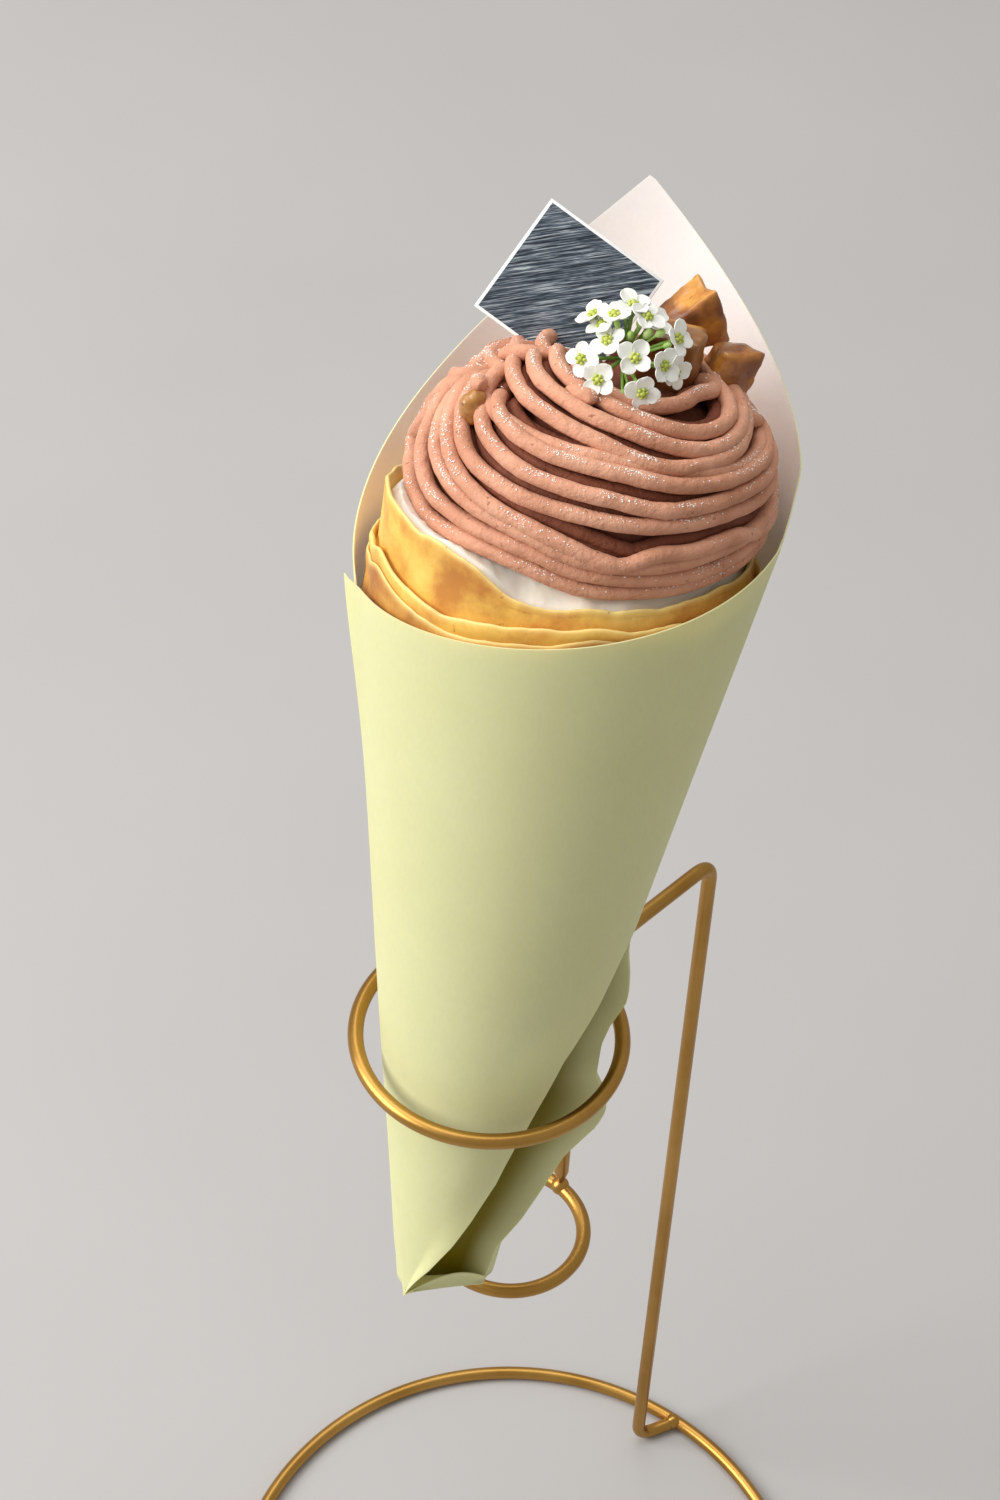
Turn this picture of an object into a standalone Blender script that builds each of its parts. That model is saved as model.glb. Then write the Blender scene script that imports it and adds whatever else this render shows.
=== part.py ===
# Filled crepe cone with piped chestnut cream, in its paper sleeve and wire holder.
# Sizes are in millimetres and turned into metres when the meshes are made.
import math
import random

import bmesh
import bpy
from mathutils import Matrix, Vector

MM = 0.001
GAP = 0.3

# Wire holder
WIRE_R = 1.5
BASE_CENTRE = Vector((0.0, -17.85, 0.0))
BASE_R = 64.1
POST_FOOT = BASE_CENTRE + Vector((26.7, 48.3, WIRE_R))
JOG_END = BASE_CENTRE + Vector((35.4, 53.1, WIRE_R))
RING_Z = 205.7
RING_CENTRE = BASE_CENTRE + Vector((-14.8, 1.2, RING_Z))
RING_R = 25.0
LOWER_Z = 135.2
LOWER_CENTRE = BASE_CENTRE + Vector((-8.3, 8.6, LOWER_Z))
LOWER_R = 15.2

# Paper cone: its own frame has X to the right, Y to the back and Z up its axis.
CONE_TIP = BASE_CENTRE + Vector((-24.5, -39.1, 101.7))
CONE_AXIS = Vector((0.079, 0.363, 0.928)).normalized()
HALF_ANGLE = math.radians(9.97)
TAN = math.tan(HALF_ANGLE)
PAPER = 0.5
APEX_TURN = math.radians(11.7)

# Heap of piped strands
HEAP_X = 3.2
HEAP_R = 31.2
HEAP_Z = 220.0
HEAP_H = 25.8
STRAND_R = 1.6

CARD_SIDE = 22.9
CARD_THICK = 0.6

for old in list(bpy.data.objects):
    bpy.data.objects.remove(old)

parts = bpy.data.collections.new("crepe_cone")
cutters = bpy.data.collections.new("cutters")
bpy.context.scene.collection.children.link(parts)
bpy.context.scene.collection.children.link(cutters)

back = (Vector((0, 1, 0)) - CONE_AXIS * CONE_AXIS.y).normalized()
right = back.cross(CONE_AXIS)
CONE = Matrix.Translation(CONE_TIP) @ Matrix((right, back, CONE_AXIS)).transposed().to_4x4()


def material(name, colour, roughness, metallic=0.0):
    mat = bpy.data.materials.new(name)
    mat.use_nodes = True
    shader = mat.node_tree.nodes["Principled BSDF"]
    shader.inputs["Base Color"].default_value = (*colour, 1.0)
    shader.inputs["Roughness"].default_value = roughness
    shader.inputs["Metallic"].default_value = metallic
    return mat


def add(name, mesh, mat, collection=parts, smooth=True):
    obj = bpy.data.objects.new(name, mesh)
    collection.objects.link(obj)
    if mat:
        mesh.materials.clear()
        mesh.materials.append(mat)
    if smooth:
        mesh.shade_smooth()
        mesh.set_sharp_from_angle(angle=math.radians(40))
    return obj


def mesh_from(bm, matrix=None):
    # The mesh is in millimetres here and is scaled to metres at the end.
    if matrix:
        bmesh.ops.transform(bm, matrix=matrix, verts=bm.verts)
    bmesh.ops.scale(bm, vec=(MM, MM, MM), verts=bm.verts)
    bmesh.ops.recalc_face_normals(bm, faces=bm.faces)
    mesh = bpy.data.meshes.new("mesh")
    bm.to_mesh(mesh)
    bm.free()
    return mesh


def loft(rings, first_pole, last_pole):
    # Skins a closed body through rings of equal length, with a point at each end.
    bm = bmesh.new()
    rows = [[bm.verts.new(p) for p in ring] for ring in rings]
    start = bm.verts.new(first_pole)
    end = bm.verts.new(last_pole)
    count = len(rows[0])
    for k in range(count):
        n = (k + 1) % count
        bm.faces.new((start, rows[0][n], rows[0][k]))
        bm.faces.new((end, rows[-1][k], rows[-1][n]))
        for low, high in zip(rows, rows[1:]):
            bm.faces.new((low[k], low[n], high[n], high[k]))
    return bm


def polar(radius, turn, height, shift=0.0):
    # Turn 0 is the back, a quarter turn the right and half a turn the front.
    return Vector((shift + radius * math.sin(turn), radius * math.cos(turn), height))


def turns(count):
    return [2 * math.pi * k / count for k in range(count)]


def evaluated_mesh(obj):
    graph = bpy.context.evaluated_depsgraph_get()
    return bpy.data.meshes.new_from_object(obj.evaluated_get(graph))


def weld(mesh, distance=1e-6):
    bm = bmesh.new()
    bm.from_mesh(mesh)
    bmesh.ops.remove_doubles(bm, verts=bm.verts, dist=distance)
    bmesh.ops.recalc_face_normals(bm, faces=bm.faces)
    bm.to_mesh(mesh)
    bm.free()
    return mesh


def wire(name, points, radius, resolution=2, matrix=None):
    curve = bpy.data.curves.new(name, "CURVE")
    curve.dimensions = "3D"
    curve.bevel_depth = radius * MM
    curve.bevel_resolution = resolution
    curve.use_fill_caps = True
    spline = curve.splines.new("POLY")
    spline.points.add(len(points) - 1)
    for target, point in zip(spline.points, points):
        placed = (matrix @ point if matrix else point) * MM
        target.co = (*placed, 1.0)
    return bpy.data.objects.new(name, curve)


def rounded(corners, bend, steps=6):
    # Replaces each inner corner with a quadratic bend of the given reach.
    path = [corners[0]]
    for before, corner, after in zip(corners, corners[1:], corners[2:]):
        start = corner + (before - corner).normalized() * bend
        end = corner + (after - corner).normalized() * bend
        for k in range(steps + 1):
            t = k / steps
            path.append(start.lerp(corner, t).lerp(corner.lerp(end, t), t))
    path.append(corners[-1])
    return path


def unite(base, others, solver="EXACT", operation="UNION"):
    # Joins or cuts the base with a whole collection and leaves one mesh.
    group = bpy.data.collections.new("join")
    bpy.context.scene.collection.children.link(group)
    for other in others:
        group.objects.link(other)
    modifier = base.modifiers.new("join", "BOOLEAN")
    modifier.operand_type = "COLLECTION"
    modifier.collection = group
    modifier.operation = operation
    modifier.solver = solver
    bpy.context.view_layer.update()
    mesh = evaluated_mesh(base)
    base.modifiers.clear()
    base.data = mesh
    for other in others:
        bpy.data.objects.remove(other)
    bpy.data.collections.remove(group)
    return base


def keep_outside(obj):
    # Keeps the largest closed surface, so sealed hollows and loose scraps go.
    bm = bmesh.new()
    bm.from_mesh(obj.data)
    bmesh.ops.triangulate(bm, faces=bm.faces)
    left = set(bm.faces)
    islands = []
    while left:
        stack = [left.pop()]
        island = []
        while stack:
            face = stack.pop()
            island.append(face)
            for edge in face.edges:
                for other in edge.link_faces:
                    if other in left:
                        left.remove(other)
                        stack.append(other)
        volume = 0.0
        for face in island:
            a, b, c = [vert.co for vert in face.verts]
            volume += a.dot(b.cross(c))
        islands.append((volume, island))
    islands.sort(key=lambda item: item[0])
    for _, island in islands[:-1]:
        bmesh.ops.delete(bm, geom=island, context="FACES")
    bmesh.ops.delete(bm, geom=[v for v in bm.verts if not v.link_faces], context="VERTS")
    bm.to_mesh(obj.data)
    bm.free()


gold = material("satin gold wire", (0.55, 0.36, 0.12), 0.32, 1.0)
paper_mat = material("pale green paper", (0.72, 0.74, 0.40), 0.65)
crepe_mat = material("baked crepe", (0.80, 0.50, 0.14), 0.6)
cream_mat = material("whipped cream", (0.93, 0.89, 0.78), 0.45)
strand_mat = material("chestnut cream", (0.48, 0.24, 0.15), 0.6)
nut_mat = material("candied chestnut", (0.55, 0.27, 0.07), 0.35)
flower_mat = material("white petals", (0.93, 0.93, 0.88), 0.5)
card_mat = material("brushed foil card", (0.14, 0.17, 0.20), 0.35, 0.8)


# Holder

def torus(name, centre, radius, around, section):
    bpy.ops.mesh.primitive_torus_add(
        location=centre * MM,
        major_radius=radius * MM,
        minor_radius=WIRE_R * MM,
        major_segments=around,
        minor_segments=section,
    )
    ring = bpy.context.object
    ring.name = name
    for home in list(ring.users_collection):
        home.objects.unlink(ring)
    parts.objects.link(ring)
    ring.data.materials.append(gold)
    ring.data.shade_smooth()
    return ring


torus("base_ring", BASE_CENTRE + Vector((0, 0, WIRE_R)), BASE_R, 64, 8)
torus("upper_ring", RING_CENTRE, RING_R, 48, 8)
torus("lower_ring", LOWER_CENTRE, LOWER_R, 36, 8)

spread = (JOG_END - BASE_CENTRE).xy.normalized()
jog_stop = BASE_CENTRE + Vector((*(spread * (BASE_R - WIRE_R - GAP - 0.95)), WIRE_R))
post_top = Vector((POST_FOOT.x, POST_FOOT.y, RING_Z))
arm_way = (post_top - RING_CENTRE).normalized()
arm_stop = RING_CENTRE + arm_way * (RING_R + WIRE_R + GAP + 0.2)
post_line = rounded([jog_stop, POST_FOOT, post_top, arm_stop], 5.0)
post_curve = wire("post", post_line, WIRE_R)
parts.objects.link(post_curve)
post_curve.data.materials.append(gold)

link_at = RING_CENTRE + arm_way * RING_R
link_low = LOWER_Z + WIRE_R + GAP
link_high = RING_Z - WIRE_R - GAP
bpy.ops.mesh.primitive_cylinder_add(
    vertices=16,
    radius=WIRE_R * MM,
    depth=(link_high - link_low) * MM,
    location=(link_at.x * MM, link_at.y * MM, (link_high + link_low) / 2 * MM),
)
link = bpy.context.object
link.name = "drop_link"
for home in list(link.users_collection):
    home.objects.unlink(link)
parts.objects.link(link)
link.data.materials.append(gold)
link.data.shade_smooth()
link.data.set_sharp_from_angle(angle=math.radians(40))


# Paper sleeve

def paper_edge(turn):
    # Straight edges of the rolled square sheet, as slant lengths from the tip.
    t = (turn + math.radians(98)) % (2 * math.pi) - math.radians(98)
    if t > APEX_TURN:
        slant = 205.6 / math.cos(t * math.sin(HALF_ANGLE) - math.radians(42.5))
    else:
        slant = 176.2 / math.cos(t * math.sin(HALF_ANGLE) + math.radians(47.3))
    return slant * math.cos(HALF_ANGLE)


def curl(turn, height):
    # The tall collar at the back opens a little beyond the cone.
    lean = max(0.0, math.cos(turn - APEX_TURN)) ** 2
    return lean * max(0.0, height - 215) ** 2 * 0.0006


# Lower right of the sleeve: height, turn of the front sheet's free edge in degrees, and how far
# the sheet below it reaches to the right
POCKET = ((57, 233, 6.8), (66, 201, 8.2), (73, 184, 12.2), (79, 173, 14.7), (88, 159, 18.3),
          (95, 153, 23.4), (98, 151, 24.6), (101, 148, 24.4), (105, 146, 21.7), (112, 142, 21.6),
          (116, 140, 22.6), (121, 133, 24.9), (126, 124, 25.2), (132, 116, 24.0), (138, 110, 24.0))
SLEEVE_LEVEL = 138.0
LEFT_TURN = math.radians(262)


def pocket_at(height):
    for (h0, a0, b0), (h1, a1, b1) in zip(POCKET, POCKET[1:]):
        if height <= h1:
            share = (height - h0) / (h1 - h0)
            return math.radians(a0 + (a1 - a0) * share), b0 + (b1 - b0) * share
    return math.radians(POCKET[-1][1]), POCKET[-1][2]


def smooth(low, high, value):
    share = min(1.0, max(0.0, (value - low) / (high - low)))
    return share * share * (3 - 2 * share)


def sleeve_section(height, radius):
    # Outline of the sleeve at one height: front sheet, recess, loose sheet and the back
    edge, reach = pocket_at(height)
    open_share = smooth(SLEEVE_LEVEL, 120, height)
    deep_share = min(1.0, (height - 57) / 40)
    deep = Vector((-1, -1.5, 0)).lerp(Vector((0.0515, -0.0825, 0)) * max(97, height), deep_share)
    deep = polar(radius, (edge + math.radians(90)) / 2, 0).lerp(deep, open_share)
    side = math.radians(90)
    tip = polar(radius, side, 0).lerp(Vector((reach, -0.06 * radius, 0)), open_share)
    points = [polar(radius, LEFT_TURN + (edge - LEFT_TURN) * k / 24, 0) for k in range(25)]
    corner = points[-1]
    points += [corner.lerp(deep, 0.5), deep]
    points += [deep.lerp(tip, k / 4) for k in range(1, 5)]
    for k in range(1, 4):
        turn = side - math.radians(10 * k)
        pull = (tip.x - radius) * smooth(3.4, 0, k)
        points.append(polar(radius + pull, turn, 0))
    first = math.radians(60)
    points += [polar(radius, first + (APEX_TURN - first) * k / 6, 0) for k in range(1, 7)]
    last = LEFT_TURN - 2 * math.pi
    points += [polar(radius, APEX_TURN + (last - APEX_TURN) * k / 12, 0) for k in range(1, 12)]
    return points


def inset(points, depth):
    # Moves a closed outline inwards by the wall thickness, with mitred corners.
    count = len(points)
    area = sum(a.x * b.y - a.y * b.x for a, b in zip(points, points[1:] + points[:1]))
    hand = 1 if area > 0 else -1
    moved = []
    for k, here in enumerate(points):
        first = (here - points[k - 1]).normalized()
        second = (points[(k + 1) % count] - here).normalized()
        n1 = Vector((-first.y, first.x, 0)) * hand
        n2 = Vector((-second.y, second.x, 0)) * hand
        way = (n1 + n2) / max(0.35, 1 + n1.dot(n2))
        moved.append(here + way * depth)
    return moved


outer = []
inner = []
wall = PAPER / math.cos(HALF_ANGLE)
for height in (57, 66, 73, 79, 88, 95, 98, 101, 105, 112, 116, 121, 126, 132, 138):
    section = sleeve_section(height, height * TAN - 0.25)
    outer.append([p + Vector((0, 0, height)) for p in section])
    floor = height + (0.6 if height == 57 else 0.0)
    inner.append([p + Vector((0, 0, floor)) for p in inset(section, wall)])
section = sleeve_section(SLEEVE_LEVEL, SLEEVE_LEVEL * TAN - 0.25)
section_turns = [math.atan2(p.x, p.y) for p in section]
for part in (0.45, 0.8, 1.0):
    ring_out = []
    ring_in = []
    for turn in section_turns:
        height = SLEEVE_LEVEL + part * (paper_edge(turn) - SLEEVE_LEVEL)
        radius = height * TAN - 0.25 + curl(turn, height)
        ring_out.append(polar(radius, turn, height))
        ring_in.append(polar(radius - wall, turn, height))
    outer.append(ring_out)
    inner.append(ring_in)
foot = sum(outer[0], Vector()) / len(outer[0])
shell = loft(outer + inner[::-1], foot, foot + Vector((0, 0, 0.6)))
bmesh.ops.triangulate(shell, faces=shell.faces)
paper = add("paper_cone", mesh_from(shell, CONE), paper_mat)


# Crepe: a solid roll with an outer fold, a groove and a taller inner wall round the cream.

# Crest of the inner wall and edge of the outer fold, as degrees round the cone and heights
WALL_TOP = ((0, 218), (60, 217), (90, 215.8), (120, 214.6), (139, 213.9), (156, 213.1), (172, 212.5),
            (190, 212.5), (201, 215), (210, 217.6), (222, 219), (232, 219.4), (241, 221.5),
            (262, 222.5), (300, 221), (330, 219.5), (360, 218))
FOLD_TOP = ((0, 210.5), (60, 212), (90, 212), (120, 211.5), (150, 210.5), (179, 209.5),
            (197, 208.2), (209, 206.6), (218, 207.3), (232, 208.5), (238, 210.5), (241, 212.5),
            (262, 214.5), (300, 213), (330, 211.5), (360, 210.5))


def crepe_outer(height):
    return height * TAN - 0.25 - (PAPER + GAP + 0.15) / math.cos(HALF_ANGLE)


def round_table(table, turn):
    degrees = math.degrees(turn) % 360
    for (a0, z0), (a1, z1) in zip(table, table[1:]):
        if degrees <= a1:
            return z0 + (z1 - z0) * (degrees - a0) / (a1 - a0)
    return table[0][1]


def wall_z(turn):
    return round_table(WALL_TOP, turn) + 0.3 * math.sin(9 * turn)


def fold_z(turn):
    return round_table(FOLD_TOP, turn) + 0.25 * math.sin(11 * turn)


def fold_r(turn):
    return crepe_outer(fold_z(turn)) - 0.8 + 0.15 * math.sin(7 * turn + 1.1)


def wall_r(turn):
    return fold_r(turn) - 2.4 + (wall_z(turn) - fold_z(turn)) * 0.15


count = 56
around = turns(count)
rings = []
rings.append([polar(crepe_outer(139) * 0.8, t, 139.5) for t in around])
for height in (144, 165, 190):
    rings.append([polar(crepe_outer(height), t, height) for t in around])
rings.append([polar(crepe_outer(fold_z(t) - 2.5), t, fold_z(t) - 2.5) for t in around])
rings.append([polar(fold_r(t) + 0.3, t, fold_z(t) - 0.5) for t in around])
rings.append([polar(fold_r(t) - 0.6, t, fold_z(t)) for t in around])
rings.append([polar(fold_r(t) - 1.3, t, fold_z(t) - 0.9) for t in around])
rings.append([polar(fold_r(t) - 1.9, t, fold_z(t) - 1.6) for t in around])
rings.append([polar(wall_r(t) + 0.5, t, wall_z(t) - 0.8) for t in around])
rings.append([polar(wall_r(t), t, wall_z(t)) for t in around])
rings.append([polar(wall_r(t) - 0.7, t, wall_z(t) - 0.9) for t in around])
rings.append([polar(31.8, t, 203) for t in around])
rings.append([polar(27.5, t, 186) for t in around])
bm = loft(rings, Vector((0, 0, 139)), Vector((0, 0, 184)))
bmesh.ops.triangulate(bm, faces=bm.faces)
add("crepe", mesh_from(bm, CONE), crepe_mat)


# Whipped cream inside the roll

def cream_z(turn):
    return 213.0 + 1.5 * math.sin(turn) + 1.0 * math.cos(turn)


count = 40
around = turns(count)
rings = [[polar(26.9, t, 187.2) for t in around]]
rings.append([polar(30.2, t, 200.5) for t in around])
rings.append([polar(30.6, t, cream_z(t) - 3.4) for t in around])
rings.append([polar(30.2 + 0.3 * math.sin(6 * t), t, cream_z(t) - 1.0) for t in around])
rings.append([polar(28.0, t, cream_z(t) - 0.4 + 0.3 * math.sin(7 * t)) for t in around])
rings.append([polar(14, t, cream_z(t) - 0.2) for t in around])
bm = loft(rings, Vector((0, 0, 186.6)), Vector((0, 0, 212.8)))
bmesh.ops.triangulate(bm, faces=bm.faces)
add("whipped_cream", mesh_from(bm, CONE), cream_mat)


# Heap of piped chestnut cream

def heap_radius(height):
    if height < HEAP_Z:
        return HEAP_R - 0.04 * (HEAP_Z - height) ** 2
    part = min(1.0, (height - HEAP_Z) / HEAP_H)
    return HEAP_R * (1 - part ** 2.3) ** (1 / 2.3)


def profile():
    # Points up the side of the heap, as pairs of arc length and position.
    table = []
    length = 0.0
    before = None
    for k in range(141):
        part = k / 140
        height = 214.8 + (HEAP_Z + HEAP_H - 214.8) * math.sin(part * math.pi / 2)
        here = Vector((heap_radius(height), height))
        if before:
            length += (here - before).length
        table.append((length, here))
        before = here
    return table


SIDE = profile()


def on_side(length):
    length = max(0.0, min(SIDE[-1][0] - 0.01, length))
    for (l0, p0), (l1, p1) in zip(SIDE, SIDE[1:]):
        if l1 >= length:
            return p0.lerp(p1, (length - l0) / (l1 - l0))
    return SIDE[-1][1]


def heap_tilt(turn):
    return 1.8 * math.sin(turn) + 1.8 * math.cos(turn)


def heap_point(length, turn, lift):
    place = on_side(length)
    slope = on_side(length + 0.5) - on_side(length - 0.5)
    normal = Vector((slope.y, -slope.x)).normalized() if slope.length else Vector((0, 1))
    place = place + normal * lift
    share = max(0.0, 1 - length / 45)
    return polar(place.x, turn, place.y + 1.6 * share + heap_tilt(turn) * share, HEAP_X)


def strand_path(front, left, right, rear, start, sweep, lift, seed, step=19):
    # Lengths up the side at four turns give a smooth way round the heap.
    mean = (front + left + right + rear) / 4
    side = (right - left) / 2
    depth = (rear - front) / 2
    twice = (front + rear - left - right) / 4
    draw = random.Random(seed)
    phase = draw.uniform(0, 6.28)
    points = []
    steps = int(sweep / step)
    for k in range(steps + 1):
        turn = math.radians(start - sweep * k / steps)
        length = mean + side * math.sin(turn) + depth * math.cos(turn) + twice * math.cos(2 * turn)
        length += 0.5 * math.sin(3 * turn + phase)
        ends = max(0.0, 1 - min(k, steps - k) / 1.5)
        rise = lift + 0.3 * math.sin(2 * turn + 2 * phase) - 1.2 * ends
        points.append(heap_point(length, turn, rise))
    return points


heap_count = 36
around = turns(heap_count)
rings = [[polar(16, t, 214.3 + 1.5 * math.sin(t) + 1.0 * math.cos(t), HEAP_X) for t in around]]
for length in (0.0, 5.0, 12.0, 20.0, 28.0, 36.0, 43.0):
    rings.append([heap_point(length, t, -0.9) for t in around])
bm = loft(rings, Vector((HEAP_X, 0, 214.2)), Vector((HEAP_X, 0, HEAP_Z + HEAP_H - 0.7)))
bmesh.ops.triangulate(bm, faces=bm.faces)
heap = add("chestnut_cream", mesh_from(bm, CONE), strand_mat)

strands = []
for row in range(8):
    strands.append((3.1 * row, 6.0 + 3.1 * row, 1.0 + 2.3 * row, 5.0 + 3.0 * row,
                    -8 - 9 * (row % 3), 338 - 9 * (row % 4), 0.0))
for row in range(6):
    strands.append((25.5 + 3.0 * row, 34.0 + 2.0 * row, 17.5 + 3.4 * row, 28.0 + 2.6 * row,
                    -22 - 14 * (row % 2), 318 - 12 * (row % 3), 0.6))
tubes = []
for seed, (front, left, right_, rear, start, sweep, lift) in enumerate(strands):
    path = strand_path(front, left, right_, rear, start, sweep, lift, seed)
    curve = wire("strand", path, STRAND_R, 1, CONE)
    cutters.objects.link(curve)
    bpy.context.view_layer.update()
    mesh = weld(evaluated_mesh(curve))
    bpy.data.objects.remove(curve)
    tubes.append(bpy.data.objects.new("strand", mesh))

# Loops where the piping turned back on top of the heap
for cx, cy, cz, size, start in ((-13.5, -5.0, 241.8, 5.6, 200), (-6.0, 6.5, 243.8, 5.2, 40),
                                (20.0, -7.5, 239.5, 5.0, 90)):
    path = []
    for k in range(13):
        turn = math.radians(start + 24 * k)
        path.append(Vector((cx + size * math.sin(turn), cy + size * 0.8 * math.cos(turn),
                            cz + 1.4 * math.sin(turn * 0.5))))
    curve = wire("strand", path, STRAND_R, 1, CONE)
    cutters.objects.link(curve)
    bpy.context.view_layer.update()
    mesh = weld(evaluated_mesh(curve))
    bpy.data.objects.remove(curve)
    tubes.append(bpy.data.objects.new("strand", mesh))
unite(heap, tubes, "MANIFOLD")


# Candied chestnut pieces, each a block with bevelled and uneven corners

def chestnut(name, centre, size, euler, seed, grow=0.0):
    draw = random.Random(seed)
    bm = bmesh.new()
    bmesh.ops.create_cube(bm, size=1.0)
    bmesh.ops.subdivide_edges(bm, edges=bm.edges, cuts=1, use_grid_fill=True)
    for vert in bm.verts:
        shrink = 1.0 - 0.16 * (vert.co.length - 0.5)
        push = Vector([draw.uniform(-0.07, 0.07) for _ in range(3)])
        vert.co = Vector([c * (s + 2 * grow) for c, s in zip(vert.co * shrink + push, size)])
    bmesh.ops.bevel(bm, geom=list(bm.edges) + list(bm.verts), offset=0.7, segments=1,
                    affect="EDGES", clamp_overlap=True)
    turn = Matrix.Rotation(euler[2], 4, "Z") @ Matrix.Rotation(euler[1], 4, "Y")
    turn = turn @ Matrix.Rotation(euler[0], 4, "X")
    bmesh.ops.transform(bm, matrix=Matrix.Translation(centre) @ turn, verts=bm.verts)
    bmesh.ops.triangulate(bm, faces=bm.faces)
    return mesh_from(bm, CONE)


NUTS = {
    "chestnut_1": (Vector((16.9, 13.0, 252.4)), (12.5, 7.0, 10.0), (0.2, -0.5, 0.3), 4),
    "chestnut_2": (Vector((12.3, 1.5, 246.8)), (13.0, 8.0, 13.5), (0.3, 0.25, -0.2), 7),
    "chestnut_3": (Vector((25.2, 4.0, 245.8)), (8.5, 7.0, 8.5), (0.1, 0.35, 0.5), 11),
}


# Card, turned to face the way the camera looked down on the cone

view = Vector((0.0, math.cos(math.radians(42.5)), -math.sin(math.radians(42.5))))
card_right = Matrix.Rotation(math.radians(-3.6), 3, view) @ Vector((1, 0, 0))
card_up = card_right.cross(view)
slant = math.radians(-36.1)
card_a = card_right * math.cos(slant) + card_up * math.sin(slant)
card_b = -card_right * math.sin(slant) + card_up * math.cos(slant)
card_centre = CONE @ Vector((-5.2, 12.0, 253.0))
card_frame = Matrix.Translation(card_centre) @ Matrix((card_a, card_b, -view)).transposed().to_4x4()


def card_mesh(grow=0.0):
    bm = bmesh.new()
    bmesh.ops.create_cube(bm, size=1.0)
    size = (CARD_SIDE + 2 * grow, CARD_SIDE + 2 * grow, CARD_THICK + 2 * grow)
    bmesh.ops.scale(bm, vec=size, verts=bm.verts)
    return mesh_from(bm, card_frame)


add("topper_card", card_mesh(), card_mat, smooth=False)
slots = [bpy.data.objects.new("slot", card_mesh(0.35))]
for name, (centre, size, euler, seed) in NUTS.items():
    add(name, chestnut(name, centre, size, euler, seed), nut_mat)
    slots.append(bpy.data.objects.new("slot", chestnut(name, centre, size, euler, seed, 0.5)))
unite(heap, slots, "MANIFOLD", "DIFFERENCE")
keep_outside(heap)


# Sprig of small four-petalled flowers

HUB = Vector((5.2, -8.5, 249.0))
FLORETS = (
    (635, 6.8, -13.0, 251.0), (644, 10.4, -18.0, 247.2), (597, 1.0, -17.4, 248.1),
    (578, -1.9, -13.4, 249.7), (669, 14.5, -12.5, 249.6), (680, 17.5, -10.0, 247.0),
    (681, 15.2, -8.5, 254.0), (656, 10.3, -7.0, 257.0), (625, 5.0, -6.0, 259.0),
    (601, 1.2, -6.0, 254.4), (593, -1.6, -2.5, 256.6),
)


def floret(centre, facing, seed):
    # A thin disc with four lobes
    bm = bmesh.new()
    bmesh.ops.create_uvsphere(bm, u_segments=16, v_segments=3, radius=1.0)
    draw = random.Random(seed)
    turn = draw.uniform(0, 1.57)
    for vert in bm.verts:
        angle = math.atan2(vert.co.y, vert.co.x)
        flat = math.hypot(vert.co.x, vert.co.y)
        reach = 2.2 + 1.0 * abs(math.cos(2 * (angle + turn))) ** 0.6
        cup = 0.35 * flat ** 2
        vert.co = Vector((vert.co.x * reach, vert.co.y * reach, vert.co.z * 0.45 + cup))
    aim = facing.normalized().to_track_quat("Z", "Y").to_matrix().to_4x4()
    bmesh.ops.transform(bm, matrix=Matrix.Translation(centre) @ aim, verts=bm.verts)
    bmesh.ops.triangulate(bm, faces=bm.faces)
    return bpy.data.objects.new("floret", mesh_from(bm, CONE))


bm = bmesh.new()
bmesh.ops.create_uvsphere(bm, u_segments=8, v_segments=5, radius=1.1)
bmesh.ops.translate(bm, vec=HUB, verts=bm.verts)
bmesh.ops.triangulate(bm, faces=bm.faces)
sprig = add("flower_sprig", mesh_from(bm, CONE), flower_mat)
pieces = []
for seed, (_, x, y, z) in enumerate(FLORETS):
    centre = Vector((x, y, z))
    outward = (centre - HUB).normalized() * 0.7 + Vector((0, -0.8, 0.35))
    pieces.append(floret(centre, outward, seed))
    tip = centre - outward.normalized() * 0.2
    stem = wire("stem", [HUB, HUB.lerp(tip, 0.5) + Vector((0, 0.5, 0)), tip], 0.4, 0, CONE)
    cutters.objects.link(stem)
    bpy.context.view_layer.update()
    mesh = weld(evaluated_mesh(stem))
    bpy.data.objects.remove(stem)
    pieces.append(bpy.data.objects.new("stem", mesh))
unite(sprig, pieces, "MANIFOLD")
keep_outside(sprig)

for obj in parts.objects:
    print(obj.name, len(obj.data.polygons) if obj.type == "MESH" else "curve")
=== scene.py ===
# Chestnut crepe cone in its wire holder, worked out in millimetres and placed in metres
import random
from math import atan2, cos, pi, radians, sin, sqrt, tan
from math import degrees as toDegrees

import bmesh
import bpy
from mathutils import Matrix, Vector
from mathutils.noise import noise


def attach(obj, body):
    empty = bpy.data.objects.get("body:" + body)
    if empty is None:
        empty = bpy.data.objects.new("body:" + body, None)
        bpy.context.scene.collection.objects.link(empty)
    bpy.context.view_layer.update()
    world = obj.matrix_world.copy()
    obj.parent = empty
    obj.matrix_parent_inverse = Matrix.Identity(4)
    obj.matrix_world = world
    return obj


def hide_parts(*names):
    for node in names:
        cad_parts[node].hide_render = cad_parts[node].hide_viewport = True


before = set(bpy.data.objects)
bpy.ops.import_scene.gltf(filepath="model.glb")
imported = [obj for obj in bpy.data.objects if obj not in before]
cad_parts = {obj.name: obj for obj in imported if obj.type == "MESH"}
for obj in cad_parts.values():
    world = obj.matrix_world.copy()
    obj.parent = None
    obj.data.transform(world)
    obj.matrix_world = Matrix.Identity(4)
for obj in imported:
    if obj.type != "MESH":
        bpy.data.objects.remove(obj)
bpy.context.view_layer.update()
print("frame loaded:", sorted(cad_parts))

mm = 0.001

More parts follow.
